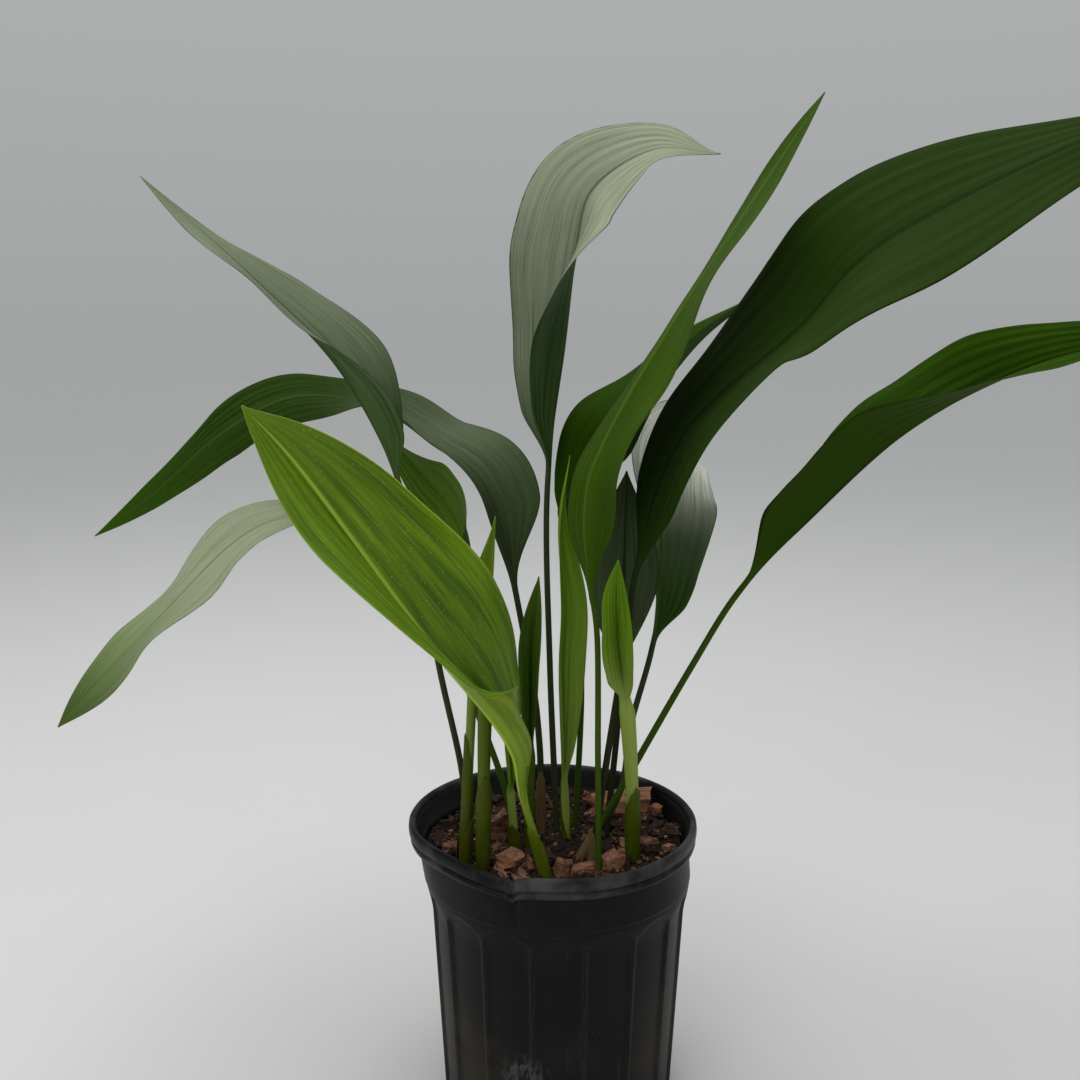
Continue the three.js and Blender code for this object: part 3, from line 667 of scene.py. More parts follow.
def specks(surface, scale, size, share):
    """Small round specks of dust, on the given share of the surface."""
    dots = surface.band(surface.cells(surface.coords, scale), size, size * 0.45)
    patches = surface.band(surface.noise(surface.coords, scale * 0.13, 2.0), 1 - share, 1.15 - share)
    return surface.times(dots, patches)


def leaf_material(leaf, seed):
    """Streaked and veined skin of a leaf, paler along its midrib, with dust, pale bloom and a painted
    sheen of reflected light on the upper face.
    """
    look = leaf.look
    surface = Surface(f"skin_of_{leaf.node}", look.gloss, look.specular)
    across = surface.attribute("across")
    run = surface.attribute("run")
    blade_share = surface.attribute("blade_share")
    upper = surface.attribute("upper")
    given_bloom_and_sheen = surface.attribute("bloom_and_sheen")
    reach = surface.math("ABSOLUTE", across)

    def lines(count, pace, shift, detail=3.0):
        """Noise that is drawn out along the leaf, with so many lines across a half."""
        place = surface.vector(surface.times(across, count), surface.times(run, pace), seed + shift)
        return surface.noise(place, 1.0, detail)

    broad = lines(7.0, 0.6, 0.0)
    lanes = lines(30.0, 0.7, 7.0)
    veins = lines(110.0, 0.9, 3.0, 2.0)
    clouds = surface.noise(surface.coords, 38.0, 3.0)

    # The upper face, its fine veins and its tip, and then the underside.
    streaks = surface.plus(surface.times(broad, 0.7), surface.times(lanes, 0.3))
    streaks = surface.band(streaks, 0.38, 0.62)
    colour = surface.mix(streaks, look.streak, look.face)
    fine_veins = surface.times(surface.band(veins, 0.52, 0.7), 0.3)
    colour = surface.mix(fine_veins, colour, look.rib)
    ripe = surface.times(surface.band(blade_share, 0.72, 1.0), 0.75)
    colour = surface.mix(ripe, colour, look.tip)
    below = surface.mix(surface.times(streaks, 0.6), look.under, look.streak)
    colour = surface.mix(upper, below, colour)

    # The pale bloom, which also paints the sheen of reflected overhead light, is thinner along the
    # veins, and the midrib stands out less where it is thick.
    clear = surface.less(1.0, surface.times(surface.band(veins, 0.50, 0.64), 0.5))
    bloom_and_sheen = surface.times(given_bloom_and_sheen, surface.band(lanes, 0.05, 0.5))
    bloom_and_sheen = surface.times(bloom_and_sheen, clear)
    # Paints the pale bloom and the sheen of reflected overhead light into the upper face's colour.
    colour = surface.mix(surface.times(upper, bloom_and_sheen), colour, look.pale)
    bare = surface.less(0.8, surface.times(given_bloom_and_sheen, 0.6))
    midrib = surface.times(surface.band(reach, 0.062, 0.02), bare)
    colour = surface.mix(midrib, colour, look.rib)
    margin = surface.times(surface.band(reach, 0.972, 0.992), 0.55)
    colour = surface.mix(margin, colour, look.rib)

    stalk_streaks = lines(16.0, 2.0, 11.0)
    stalk = surface.mix(surface.times(stalk_streaks, 0.5), look.stalk, look.under)
    colour = surface.mix(surface.band(blade_share, 0.10, -0.03), colour, stalk)
    dust = surface.times(specks(surface, 280.0, 0.17, 0.8), 0.4 * look.dust)
    dust_green = (0.46, 0.55, 0.20)
    colour = surface.mix(dust, colour, dust_green)

    surface.bump(veins, 0.22, 0.0006)
    surface.bump(lanes, 0.25, 0.0010)
    matt = surface.plus(surface.times(clouds, 0.16), look.gloss - 0.08)
    return surface.finish(colour, matt)


def sheath_material(name, colour, ribs):
    """Ribbed skin of a sheath, browner towards its edges."""
    surface = Surface(name, 0.5, 0.12)
    across = surface.attribute("across")
    run = surface.attribute("run")
    place = surface.vector(surface.times(across, ribs), surface.times(run, 0.6), 2.0)
    fibres = surface.noise(place, 1.0, 3.0)
    blotches = surface.noise(surface.coords, 90.0, 4.0)
    dark = tuple(0.65 * part for part in colour)
    brown = (0.090, 0.065, 0.020)
    skin = surface.mix(surface.band(fibres, 0.3, 0.7), dark, colour)
    edges = surface.band(surface.math("ABSOLUTE", across), 0.86, 1.0)
    skin = surface.mix(edges, skin, brown)
    stains = surface.times(surface.band(blotches, 0.56, 0.72), 0.5)
    skin = surface.mix(stains, skin, brown)
    surface.bump(fibres, 0.25, 0.0006)
    return surface.finish(skin)


def pot_material(colours):
    """Satin black moulded plastic with dust, upright scuffs, pale ridges that are rubbed and painted
    with a highlight, and a lip greyed by dust and a painted highlight.
    """
    surface = Surface("black_moulded_plastic", 0.42, 0.12)
    black = tuple(colours.pot_black)
    grey = tuple(colours.pot_scuff_and_highlight)
    soil = (0.030, 0.024, 0.014)
    pale_dust = (0.16, 0.14, 0.12)
    clouds = surface.noise(surface.coords, 22.0, 4.0)
    scuffs = surface.noise(surface.scaled(surface.coords, (420, 420, 11)), 1.0, 4.0, 0.65)
    fine = surface.noise(surface.scaled(surface.coords, (900, 900, 60)), 1.0, 2.0)
    scratches = surface.noise(surface.scaled(surface.coords, (300, 300, 170)), 1.0, 3.0)

    film = surface.times(surface.band(clouds, 0.42, 0.75), 0.10)
    colour = surface.mix(film, black, grey)
    marks = surface.times(surface.band(scuffs, 0.60, 0.74), surface.band(clouds, 0.35, 0.6))
    colour = surface.mix(surface.times(marks, 0.32), colour, grey)
    # Pale ridges: rubbed wear, and a painted highlight where light would catch the ridges.
    rubbed_and_highlit = surface.times(surface.attribute("ridge"), surface.band(fine, 0.4, 0.65))
    colour = surface.mix(surface.times(rubbed_and_highlit, 0.2), colour, grey)
    # The lip: greyed by dust, and with a painted highlight on its lit edges.
    lip_dust_and_highlight = surface.times(surface.attribute("lip"), surface.band(clouds, 0.4, 0.65))
    colour = surface.mix(lip_dust_and_highlight, colour, grey)
    for place, reach in SOILED:
        soiled = surface.times(surface.near(place, reach), surface.band(clouds, 0.25, 0.65))
        colour = surface.mix(surface.times(soiled, 0.8), colour, soil)
    scraped = surface.times(surface.near(*SCRAPED), surface.band(scratches, 0.42, 0.6))
    colour = surface.mix(surface.times(scraped, 0.85), colour, grey)
    dust = surface.times(specks(surface, 300.0, 0.14, 0.45), 0.55)
    colour = surface.mix(dust, colour, pale_dust)
    surface.bump(surface.noise(surface.coords, 700.0, 2.0), 0.10, 0.0004)
    surface.bump(scuffs, 0.08, 0.0005)
    matt = surface.plus(surface.times(clouds, 0.2), 0.34)
    return surface.finish(colour, matt)


def mix_material(colours):
    """Dark, damp, crumbly compost."""
    surface = Surface("crumbly_mix", 0.85, 0.25)
    lumps = surface.noise(surface.coords, 190.0, 6.0, 0.7)
    fibres = surface.noise(surface.scaled(surface.coords, (900, 500, 700)), 1.0, 4.0)
    lump_brown = (0.040, 0.020, 0.010)
    fibre_brown = (0.110, 0.060, 0.034)
    colour = surface.mix(surface.band(lumps, 0.35, 0.7), tuple(colours.mix_dark), lump_brown)
    colour = surface.mix(surface.band(fibres, 0.62, 0.75), colour, fibre_brown)
    surface.bump(lumps, 0.9, 0.004)
    surface.bump(fibres, 0.5, 0.001)
    return surface.finish(colour)


def bark_material(colours):
    """Flakes of bark: grey brown outside, and orange brown where they split along the fibres."""
    surface = Surface("flaked_bark", 0.8, 0.3)
    shade = surface.attribute("shade")
    place = surface.attribute("flake", "Vector")
    fibres = surface.noise(surface.scaled(place, (90, 900, 900)), 1.0, 4.0, 0.65)
    blotches = surface.noise(place, 260.0, 3.0)
    split_dark = (0.150, 0.060, 0.032)
    crust_dark = (0.016, 0.009, 0.006)
    split = surface.mix(surface.band(fibres, 0.32, 0.68), split_dark, tuple(colours.bark_pale))
    crust = surface.mix(surface.band(fibres, 0.35, 0.65), crust_dark, tuple(colours.bark_dark))
    amount = surface.plus(shade, surface.times(surface.less(blotches, 0.5), 0.9))
    colour = surface.mix(surface.band(amount, 0.35, 0.75), crust, split)
    surface.bump(fibres, 0.7, 0.0015)
    return surface.finish(colour)


def rhizome_material():
    """Pale, ringed skin of the creeping rhizome."""
    surface = Surface("ringed_rhizome_skin", 0.7, 0.3)
    rings = surface.noise(surface.scaled(surface.coords, (40, 240, 240)), 1.0, 3.0)
    ring_brown = (0.16, 0.11, 0.05)
    cream = (0.45, 0.36, 0.20)
    colour = surface.mix(surface.band(rings, 0.35, 0.65), ring_brown, cream)
    surface.bump(rings, 0.5, 0.001)
    return surface.finish(colour)


def floor_material(colours):
    surface = Surface("studio_floor", 0.75, 0.2)
    paint = tuple(colours.floor)
    shade = tuple(0.97 * part for part in paint)
    return surface.finish(surface.mix(surface.noise(surface.coords, 6.0, 2.0), shade, paint))


# ---------- pot ----------
def knock(places):
    """Moves points of the upper wall as the knocked lip has moved. Places are rows of x, y and z."""
    x, y, z = places.T
    weight = smooth(LIP_BENDS_FROM, LIP_BENDS_OVER, z)
    radius = np.hypot(x, y)
    rim_share = radius / RIM_RADIUS
    azimuth = np.degrees(np.arctan2(x, -y))
    inward = np.zeros_like(z)
    down = np.zeros_like(z)
    for middle, width, depth, drop in DENTS:
        bell = np.exp(-(((azimuth - middle) / width) ** 2))
        inward += depth * bell
        down += drop * bell
    crease = np.exp(-np.abs(azimuth - CREASE_AZIMUTH) / CREASE_WIDTH) * smooth(0.9, 0.06, rim_share)
    inward += CREASE_INWARD * crease
    down += CREASE_DROP * crease
    edge = smooth(0.55, 0.4, rim_share)
    scale = 1 - inward * weight * edge / np.maximum(radius, 1e-6)
    return np.stack([x * scale + LIP_SHIFT * weight, y * scale, z - down * weight * edge], axis=1)


def ridge_radius(z):
    straight = BASE_RADIUS + (RIDGE_TOP_RADIUS - BASE_RADIUS) / RIDGE_TOP_HEIGHT * z
    return straight + SHOULDER * smooth(RIDGE_TOP_HEIGHT, BAND_BOTTOM - RIDGE_TOP_HEIGHT, z)


def inner_radius(z):
    return ridge_radius(z) - RECESS - WALL


def flute_depth(azimuth, z):
    """Depth of a flute's panel below the ridges, and how much of a ridge a point lies on."""
    turn = azimuth / (2 * math.pi) * FLUTES + 0.5
    from_edge = 0.5 - np.abs(turn - np.floor(turn) - 0.5)
    from_middle = 1 - 2 * from_edge
    arch = ARCH_TOP - ARCH_RISE * (1 - np.sqrt(np.maximum(0, 1 - from_middle**2)))
    side = smooth(0, FLUTE_SIDE, from_edge)
    panel = smooth(0, ARCH_EDGE, arch - z)
    return RECESS * side * panel, (1 - side) * smooth(0, RIDGE_FADE, RIDGE_END - z)


def pot_profile():
    """Radius and height up the outside of the pot, over its lip, down the inside and to the middle."""
    outside = [(0.0, 0.0)] + [(BASE_RADIUS - inset, height) for inset, height in BASE_RING]
    outside += [(ridge_radius(z), z) for z in np.arange(0.0, RIDGE_TOP_HEIGHT, FLUTE_STEP)]
    outside += [(ridge_radius(z) + BAND_LEDGE * float(smooth(BAND_BOTTOM - 1.5, 1, z)), z)
                for z in np.arange(RIDGE_TOP_HEIGHT, BAND_TOP - 1.0, BAND_STEP)]
    lip = [(radius, POT_TOP - depth) for radius, depth in LOWER_BEAD + UPPER_BEAD + LIP_STEPS]
    inside = [(inner_radius(z), z) for z in np.arange(INSIDE_TOP, RIDGE_TOP_HEIGHT, -FLUTE_STEP)]
    inside += [(inner_radius(z), z) for z in np.arange(RIDGE_TOP_HEIGHT, FLOOR, -INSIDE_STEP)]
    inside += [(inner_radius(FLOOR), FLOOR), (0.0, FLOOR)]
    return outside + lip + inside


def spun(profile, steps):
    """Spins a profile of radius and height, in millimetres, into a closed shell."""
    bm = bmesh.new()
    verts = [bm.verts.new((radius * MM, 0.0, height * MM)) for radius, height in profile]
    edges = [bm.edges.new(pair) for pair in zip(verts, verts[1:])]
    bmesh.ops.spin(
        bm, geom=verts + edges, cent=(0, 0, 0), axis=(0, 0, 1), angle=2 * math.pi, steps=steps,
        use_merge=True,
    )
    bmesh.ops.remove_doubles(bm, verts=bm.verts, dist=0.01 * MM)
    bmesh.ops.recalc_face_normals(bm, faces=bm.faces)
    return bm


def drill_drain_holes(piece):
    """Cuts the round drain holes through the pot's floor."""
    bm = bmesh.new()
    for index in range(DRAIN_HOLES):
        turn = (index + 0.5) / DRAIN_HOLES * 2 * math.pi
        place = (DRAIN_CIRCLE * MM * math.sin(turn), -DRAIN_CIRCLE * MM * math.cos(turn), 0)
        bmesh.ops.create_cone(
            bm, cap_ends=True, segments=40, radius1=DRAIN_RADIUS * MM, radius2=DRAIN_RADIUS * MM,
            depth=4 * FLOOR * MM, matrix=Matrix.Translation(place),
        )
    drill = add_object("drain_drill", mesh_of("drain_drill", bm))
    cut = piece.modifiers.new("drain holes", "BOOLEAN")
    cut.object = drill
    cut.solver = "EXACT"
    shape = bpy.data.meshes.new_from_object(piece.evaluated_get(bpy.context.evaluated_depsgraph_get()))
    piece.modifiers.clear()
    piece.data = shape
    bpy.data.objects.remove(drill)


def build_pot(colours):
    """Spins the pot's shell, sinks the flutes into its outside and knocks its lip."""
    bm = spun(pot_profile(), STEPS_PER_FLUTE * FLUTES)
    places = vert_places(bm) / MM
    x, y, z = places.T
    radius = np.hypot(x, y)
    azimuth = np.arctan2(x, -y)
    depth, ridge = flute_depth(azimuth, z)
    outside = smooth(-1.2, 0.8, radius - ridge_radius(z)) * (z < BAND_TOP)
    scale = 1 - depth * outside / np.maximum(radius, 1e-6)
    moved = knock(np.stack([x * scale, y * scale, z], axis=1))
    lip = smooth(LIP_FOOT, 3, z) * smooth(LIP_FACE_RADIUS, 2, radius)
    # Masks of the ridges and the lip, where the material paints wear, dust and a painted highlight.
    move_verts(bm, moved, {"ridge": ridge * outside, "lip": lip})
    piece = finish_piece("nursery_pot", bm, ["pot"], pot_material(colours))
    drill_drain_holes(piece)
    return piece


# ---------- potting mix and bark ----------
def mix_height(x, y):
    height = MIX_LEVEL + MIX_RISE[0] * x + MIX_RISE[1] * y
    for rise, per_x, per_y, phase in HILLS:
        height = height + rise * np.sin(per_x * x + per_y * y + phase)
    return height


def crumbled(x, y):
    """Height of a point of the mix above its smooth hills."""
    coarse = noise.fractal(Vector((x / LUMP, y / LUMP, 3.0)), 1.0, 2.0, 4)
    fine = noise.noise(Vector((x / GRAIN, y / GRAIN, 9.0)))
    return LUMP_HEIGHT * coarse + GRAIN_HEIGHT * fine


def build_mix(colours):
    """Spins a plug that fills the pot, and heaves its top into hills and lumps."""
    rim = inner_radius(MIX_LEVEL) - RIM_GAP
    surface = [(rim * share, MIX_LEVEL) for share in np.linspace(0, 1, MIX_RINGS)]
    wall = [(inner_radius(z) - RIM_GAP, z) for z in (BAND_BOTTOM, RIDGE_TOP_HEIGHT, MIX_BOTTOM)]
    bm = spun(surface + wall + [(0.0, MIX_BOTTOM)], MIX_SECTORS)
    places = vert_places(bm) / MM
    top = places[:, 2] > MIX_LEVEL - 0.1
    x, y = places[top, 0], places[top, 1]
    lumps = np.array([crumbled(*point) for point in zip(x, y)])
    places[top, 2] = mix_height(x, y) + lumps * smooth(rim, -6, np.hypot(x, y))
    move_verts(bm, knock(places), {})
    return finish_piece("crumbly_potting_mix", bm, ["potting_mix"], mix_material(colours))


def shoot_places():
    return np.array([leaf.rib[0][:2] for leaf in LEAVES], float)


def bark_layers(bm):
    """Where each vertex keeps its place on its own flake, and the flake's shade."""
    return {
        "flake": bm.verts.layers.float_vector.new("flake"),
        "shade": bm.verts.layers.float.new("shade"),
    }


def strewn(rng, widest):
    """A random place on the mix: its direction, how far from the middle it is, and its x and y."""
    turn = rng.uniform(0, 2 * math.pi)
    away = widest * math.sqrt(rng.random())
    return turn, away, away * math.sin(turn), -away * math.cos(turn)


def flake_block():
    """A unit block with each edge cut once, which every flake starts from."""
    bm = bmesh.new()
    bmesh.ops.create_cube(bm, size=1.0)
    bmesh.ops.subdivide_edges(bm, edges=bm.edges[:], cuts=1, use_grid_fill=True)
    return mesh_of("flake_block", bm)


def add_flake(bm, block, rng, layers, place, size, turn, tilt, shade):
    """Adds one flake: a small block, roughened and tapered, split along its fibres."""
    before = len(bm.verts)
    bm.from_mesh(block)
    bm.verts.ensure_lookup_table()
    offset = Vector((rng.random(), rng.random(), rng.random()))
    taper = rng.uniform(0.1, 0.6)
    tilted = Matrix.Rotation(tilt[0], 3, "X") @ Matrix.Rotation(tilt[1], 3, "Y")
    turned = Matrix.Rotation(turn, 3, "Z") @ tilted
    for vert in bm.verts[before:]:
        rough = Vector([rng.uniform(-0.13, 0.13) for _ in range(3)])
        spot = vert.co + rough
        spot.y *= 1 - taper * abs(spot.x)
        spot = Vector(part * length * MM for part, length in zip(spot, size))
        vert[layers["flake"]] = spot + offset
        vert[layers["shade"]] = shade
        vert.co = turned @ spot + place


def flake_place(x, y, lift):
    spot = knock(np.array([[x, y, mix_height(x, y)]]))[0]
    return Vector((spot[0], spot[1], spot[2] + lift)) * MM


def build_bark(sizes, colours):
    """Lays the chips that are in plain sight, and strews other flakes clear of the shoots."""
    rng = random.Random(BARK_SEED)
    shoots = shoot_places()
    block = flake_block()
    bm = bmesh.new()
    layers = bark_layers(bm)
    for x, y, length, width, thickness, turn, shade in SEEN_CHIPS:
        tilt = (rng.uniform(-CHIP_TILT, CHIP_TILT), rng.uniform(-CHIP_TILT, CHIP_TILT))
        place = flake_place(x - LIP_SHIFT, y, CHIP_LIFT * thickness)
        size = (length, width, thickness)
        add_flake(bm, block, rng, layers, place, size, math.radians(turn), tilt, shade)
    widest = inner_radius(MIX_LEVEL) - FLAKE_EDGE_GAP
    wanted = len(block.vertices) * (len(SEEN_CHIPS) + sizes.bark_flakes)
    while len(bm.verts) < wanted:
        _, away, x, y = strewn(rng, widest)
        length = rng.choice(FLAKE_LENGTHS) * rng.uniform(0.8, 1.2)
        size = (length, length * rng.uniform(0.4, 0.85), rng.uniform(2.0, 5.0))
        tilt = (rng.gauss(0, FLAKE_TILT), rng.gauss(0, FLAKE_TILT))
        spin = rng.uniform(0, math.pi)
        shade = rng.betavariate(1.3, 2.6)
        clear = np.hypot(*(shoots - (x + LIP_SHIFT, y)).T).min()
        if clear < SHOOT_CLEARANCE + 0.3 * length or away + 0.4 * length > widest + 4:
            continue
        place = flake_place(x, y, rng.uniform(0, 1.8))
        add_flake(bm, block, rng, layers, place, size, spin, tilt, shade)
    bmesh.ops.recalc_face_normals(bm, faces=bm.faces)
    return finish_piece(
        "bark_flakes", bm, ["potting_mix"], bark_material(colours), smooth_shading=False)


def build_crumbs(sizes, material):
    """Strews small crumbs, which have the bark's material."""
    rng = random.Random(CRUMB_SEED)
    bm = bmesh.new()
    layers = bark_layers(bm)
    widest = inner_radius(MIX_LEVEL) - CRUMB_EDGE_GAP
    for _ in range(sizes.crumbs):
        turn, _, x, y = strewn(rng, widest)
        place = flake_place(x, y, crumbled(x, y) + rng.uniform(0.2, 1.2))
        made = bmesh.ops.create_icosphere(bm, subdivisions=1, radius=1.0)
        length = rng.uniform(0.6, 2.0)
        shade = rng.betavariate(1.2, 3.0)
        offset = Vector((rng.random(), rng.random(), rng.random()))
        for vert in made["verts"]:
            spot = Vector(part * rng.uniform(0.6, 1.1) * length * MM for part in vert.co)
            spot.x *= 1.7
            vert[layers["flake"]] = spot + offset
            vert[layers["shade"]] = shade
            vert.co = Matrix.Rotation(turn * 7, 3, "Z") @ spot + place
    return finish_piece("mix_crumbs", bm, ["potting_mix"], material, smooth_shading=False)


# ---------- midribs ----------
class Midrib:
    """The smooth way of a leaf from its foot on the rhizome to its tip."""

    def __init__(self, leaf):
        foot = (*(leaf.foot or leaf.rib[0][:2]), SHOOT_FOOT)
        knots = np.array([foot, *leaf.rib], float)
        self.knots = np.vstack([2 * knots[0] - knots[1], knots, 2 * knots[-1] - knots[-2]])
        self.buried = np.linalg.norm(knots[1] - knots[0])
        self.shares = np.linspace(0, 1, MIDRIB_SAMPLES)
        steps = np.linalg.norm(np.diff(self.at(self.shares), axis=0), axis=1)
        self.travelled = np.concatenate([[0], np.cumsum(steps)])
        self.length = self.travelled[-1]
        reach = (knots[-1] - knots[1]) * (1, 1, 0)
        self.level = np.cross((0, 0, 1), reach / np.linalg.norm(reach))

    def at(self, share):
        """Places at shares of the way from knot to knot, by a uniform Catmull-Rom spline."""
        spans = len(self.knots) - 3
        run = np.clip(share, 0, 1) * spans
        index = np.minimum(run.astype(int), spans - 1)
        part = (run - index)[:, None]
        before, first, second, after = (self.knots[index + step] for step in range(4))
        lead, lag = 0.5 * (second - before), 0.5 * (after - first)
        bend = 3 * (second - first) - 2 * lead - lag
        twist = 2 * (first - second) + lead + lag
        return first + lead * part + bend * part**2 + twist * part**3

    def frames(self, distances, roll):
        """Places and axes at distances from the foot, with the upper face turned by roll degrees."""
        distances = np.clip(distances, 0, self.length)
        share = np.interp(distances, self.travelled, self.shares)
        place = self.at(share)
        ahead = self.at(np.minimum(share + 1e-3, 1)) - self.at(np.maximum(share - 1e-3, 0))
        ahead[distances == 0] = (0, 0, 1)
        ahead /= np.linalg.norm(ahead, axis=1)[:, None]
        left = self.level - ahead * (ahead @ self.level)[:, None]
        left /= np.linalg.norm(left, axis=1)[:, None]
        above = np.cross(ahead, left)
        angle = np.radians(roll)[:, None]
        face = above * np.cos(angle) - left * np.sin(angle)
        return place, ahead, np.cross(ahead, face), face


def stalk_radius(leaf, share):
    return leaf.stalk + (leaf.neck_radius() - leaf.stalk) * np.clip(share, 0, 1)


# ---------- leaves ----------
# t goes from 0 at the blade's foot to 1 at its tip, and u from -1 at the left edge to 1 at the right.
WIDEST_AT = 0.45
TIP_FULLNESS = 0.95
TIP_HALF_WIDTH = 0.4
BLADE_OPENS_OVER = 0.16
CHANNEL_DEPTH = 0.16
CHANNEL_WIDTH = 0.5
STALK_RIBS = 14
STALK_RIB_HEIGHT = 0.018
GROOVE_DEPTH = 0.2
GROOVE_WIDTH = 1.3
KEEL_WIDTH = 1.8
FLUTTER_SHARE = 0.1
FLUTTER_PACE = 2.6
CURL_ENDS_AT = 0.41
PINCH_ENDS_AT = 0.5
PINCHED_SHARE = 0.42
STALK_STEP = 5.0
BLADE_STEP = 2.8
SLIM_WIDTH = 25
SLIM_COLUMNS = 64
BROAD_COLUMNS = 112


def half_width(leaf, t):
    bend = math.log(0.5) / math.log(WIDEST_AT)
    power = np.where(t < WIDEST_AT, leaf.fullness, TIP_FULLNESS)
    bow = leaf.width * np.abs(np.sin(np.pi * np.clip(t, 0, 1) ** bend)) ** power
    return np.maximum(bow, leaf.neck_radius() * (1 - t) ** 2 + TIP_HALF_WIDTH)


def stalk_section(u, upper, radius):
    """A round section with a shallow channel on its upper side."""
    angle = np.where(upper, 1, -1) * (1 - u) * math.pi / 2
    channel = 1 - CHANNEL_DEPTH * np.exp(-(((angle - math.pi / 2) / CHANNEL_WIDTH) ** 2))
    ribs = 1 + STALK_RIB_HEIGHT * np.cos(STALK_RIBS * angle)
    return radius * channel * ribs * np.cos(angle), radius * channel * ribs * np.sin(angle)


def curled_over(leaf, u, t):
    """Half the turn of the left half where it curls over, and the share of its width that it keeps."""
    curls = (u < 0) * (leaf.curl > 0)
    half_turn = math.radians(leaf.curl / 2) * smooth(CURL_ENDS_AT, -0.2, t) * curls * np.abs(u)
    pinch = smooth(PINCH_ENDS_AT, -0.18, t) * smooth(0.04, 0.2, t)
    return half_turn, 1 - PINCHED_SHARE * pinch * curls


def rippled(leaf, u, t, seed):
    """Height of the waves of a blade: long ones over each half, and short ones near its edges."""
    wave_height, waves, phase = leaf.wave
    swell = np.sin(np.pi * t)
    ripple = wave_height * np.sin(2 * np.pi * (waves * t + phase)) * swell * u**2
    turns = FLUTTER_PACE * waves * t + 0.37 * seed + 0.25 * np.sign(u)
    flutter = FLUTTER_SHARE * wave_height * np.sin(2 * np.pi * turns)
    return ripple + flutter * swell * u**4


def blade_section(leaf, sizes, u, upper, t, seed):
    """A blade's section: both halves fold up from the midrib, pleated, with a keel underneath."""
    reach = np.abs(u)
    half_turn, kept = curled_over(leaf, u, t)
    width = half_width(leaf, t) * kept
    fold = np.radians(np.where(u > 0, eased(leaf.right, t), eased(leaf.left, t)))
    chord = fold * (1.2 - 0.2 * reach) + half_turn
    slope = chord + half_turn
    span = reach * width * np.sinc(half_turn / math.pi)
    fade_across = smooth(0, 0.1, reach) * smooth(1, -0.06, reach)
    fade_along = smooth(0, 0.2, t) * smooth(1, -0.12, t)
    pleats = sizes.pleat_height / MM * np.cos(2 * np.pi * sizes.pleats * reach)
    pleats = pleats * fade_across * fade_along
    from_rib = reach * width
    groove = -GROOVE_DEPTH * np.exp(-((from_rib / GROOVE_WIDTH) ** 2)) * smooth(1, -0.2, t)
    keel = sizes.keel_depth / MM * np.exp(-((from_rib / KEEL_WIDTH) ** 2)) * smooth(1, -0.5, t)
    half_thick = 0.5 * sizes.blade_thickness / MM * np.sqrt(np.maximum(0, 1 - reach**12))
    lift = pleats + np.where(upper, half_thick + groove, -half_thick - keel)
    x = np.sign(u) * (span * np.cos(chord) - np.sin(slope) * lift)
    y = span * np.sin(chord) + rippled(leaf, u, t, seed) + np.cos(slope) * lift
    return x, y


def build_leaf(leaf, sizes, seed):
    """Turns a flat grid into a closed blade on its stalk: one half is the upper face, one the lower."""
    midrib = Midrib(leaf)
    start = leaf.start + midrib.buried
    blade_length = midrib.length - start
    on_stalk = max(10, round(start / STALK_STEP))
    on_blade = max(36, round(blade_length / BLADE_STEP))
    columns = BROAD_COLUMNS if leaf.width > SLIM_WIDTH else SLIM_COLUMNS
    bm = bmesh.new()
    bmesh.ops.create_grid(bm, x_segments=on_stalk + on_blade, y_segments=columns, size=1.0)
    cells = vert_places(bm)
    station = (cells[:, 0] + 1) / 2 * (on_stalk + on_blade)
    up_stalk = start * station / on_stalk
    up_blade = start + blade_length * (station - on_stalk) / on_blade
    distance = np.where(station < on_stalk, up_stalk, up_blade)
    t = np.clip((distance - start) / blade_length, 0, 1)
    upper = cells[:, 1] < 0
    u = np.where(upper, 2 * cells[:, 1] + 1, 1 - 2 * cells[:, 1])
    round_x, round_y = stalk_section(u, upper, stalk_radius(leaf, distance / start))
    flat_x, flat_y = blade_section(leaf, sizes, u, upper, t, seed)
    flatness = smooth(0, BLADE_OPENS_OVER, t)
    x = round_x + (flat_x - round_x) * flatness
    y = round_y + (flat_y - round_y) * flatness
    place, _, side, face = midrib.frames(distance, eased(leaf.roll, t))
    values = {
        "across": u,
        "run": distance / LEAF_RUN,
        # How pale the upper face is painted along the blade: pale bloom and a painted sheen of reflected
        # light.
        "bloom_and_sheen": eased(leaf.bloom_and_sheen, t) * (t > 0),
        "blade_share": (distance - start) / blade_length,
        "upper": np.where(np.abs(cells[:, 1]) < 1e-4, 0.5, upper),
    }
    move_verts(bm, place + side * x[:, None] + face * y[:, None], values)
    bmesh.ops.remove_doubles(bm, verts=bm.verts, dist=0.002 * MM)
    bmesh.ops.holes_fill(bm, edges=[edge for edge in bm.edges if edge.is_boundary], sides=columns + 2)
    bmesh.ops.recalc_face_normals(bm, faces=bm.faces)
    return finish_piece(f"grown_{leaf.node}", bm, [leaf.node], leaf_material(leaf, seed))


# ---------- sheaths ----------
def sheath_inner_radius(stalk, layer):
    flat = math.cos(math.radians(SHEATH_DEGREES / (SHEATH_CORNERS - 1) / 2))
    inner = (stalk + SHEATH_GAP) / flat
    for _ in range(layer):
        inner = (inner + SHEATH_WALL + SHEATH_GAP) / flat
    return inner


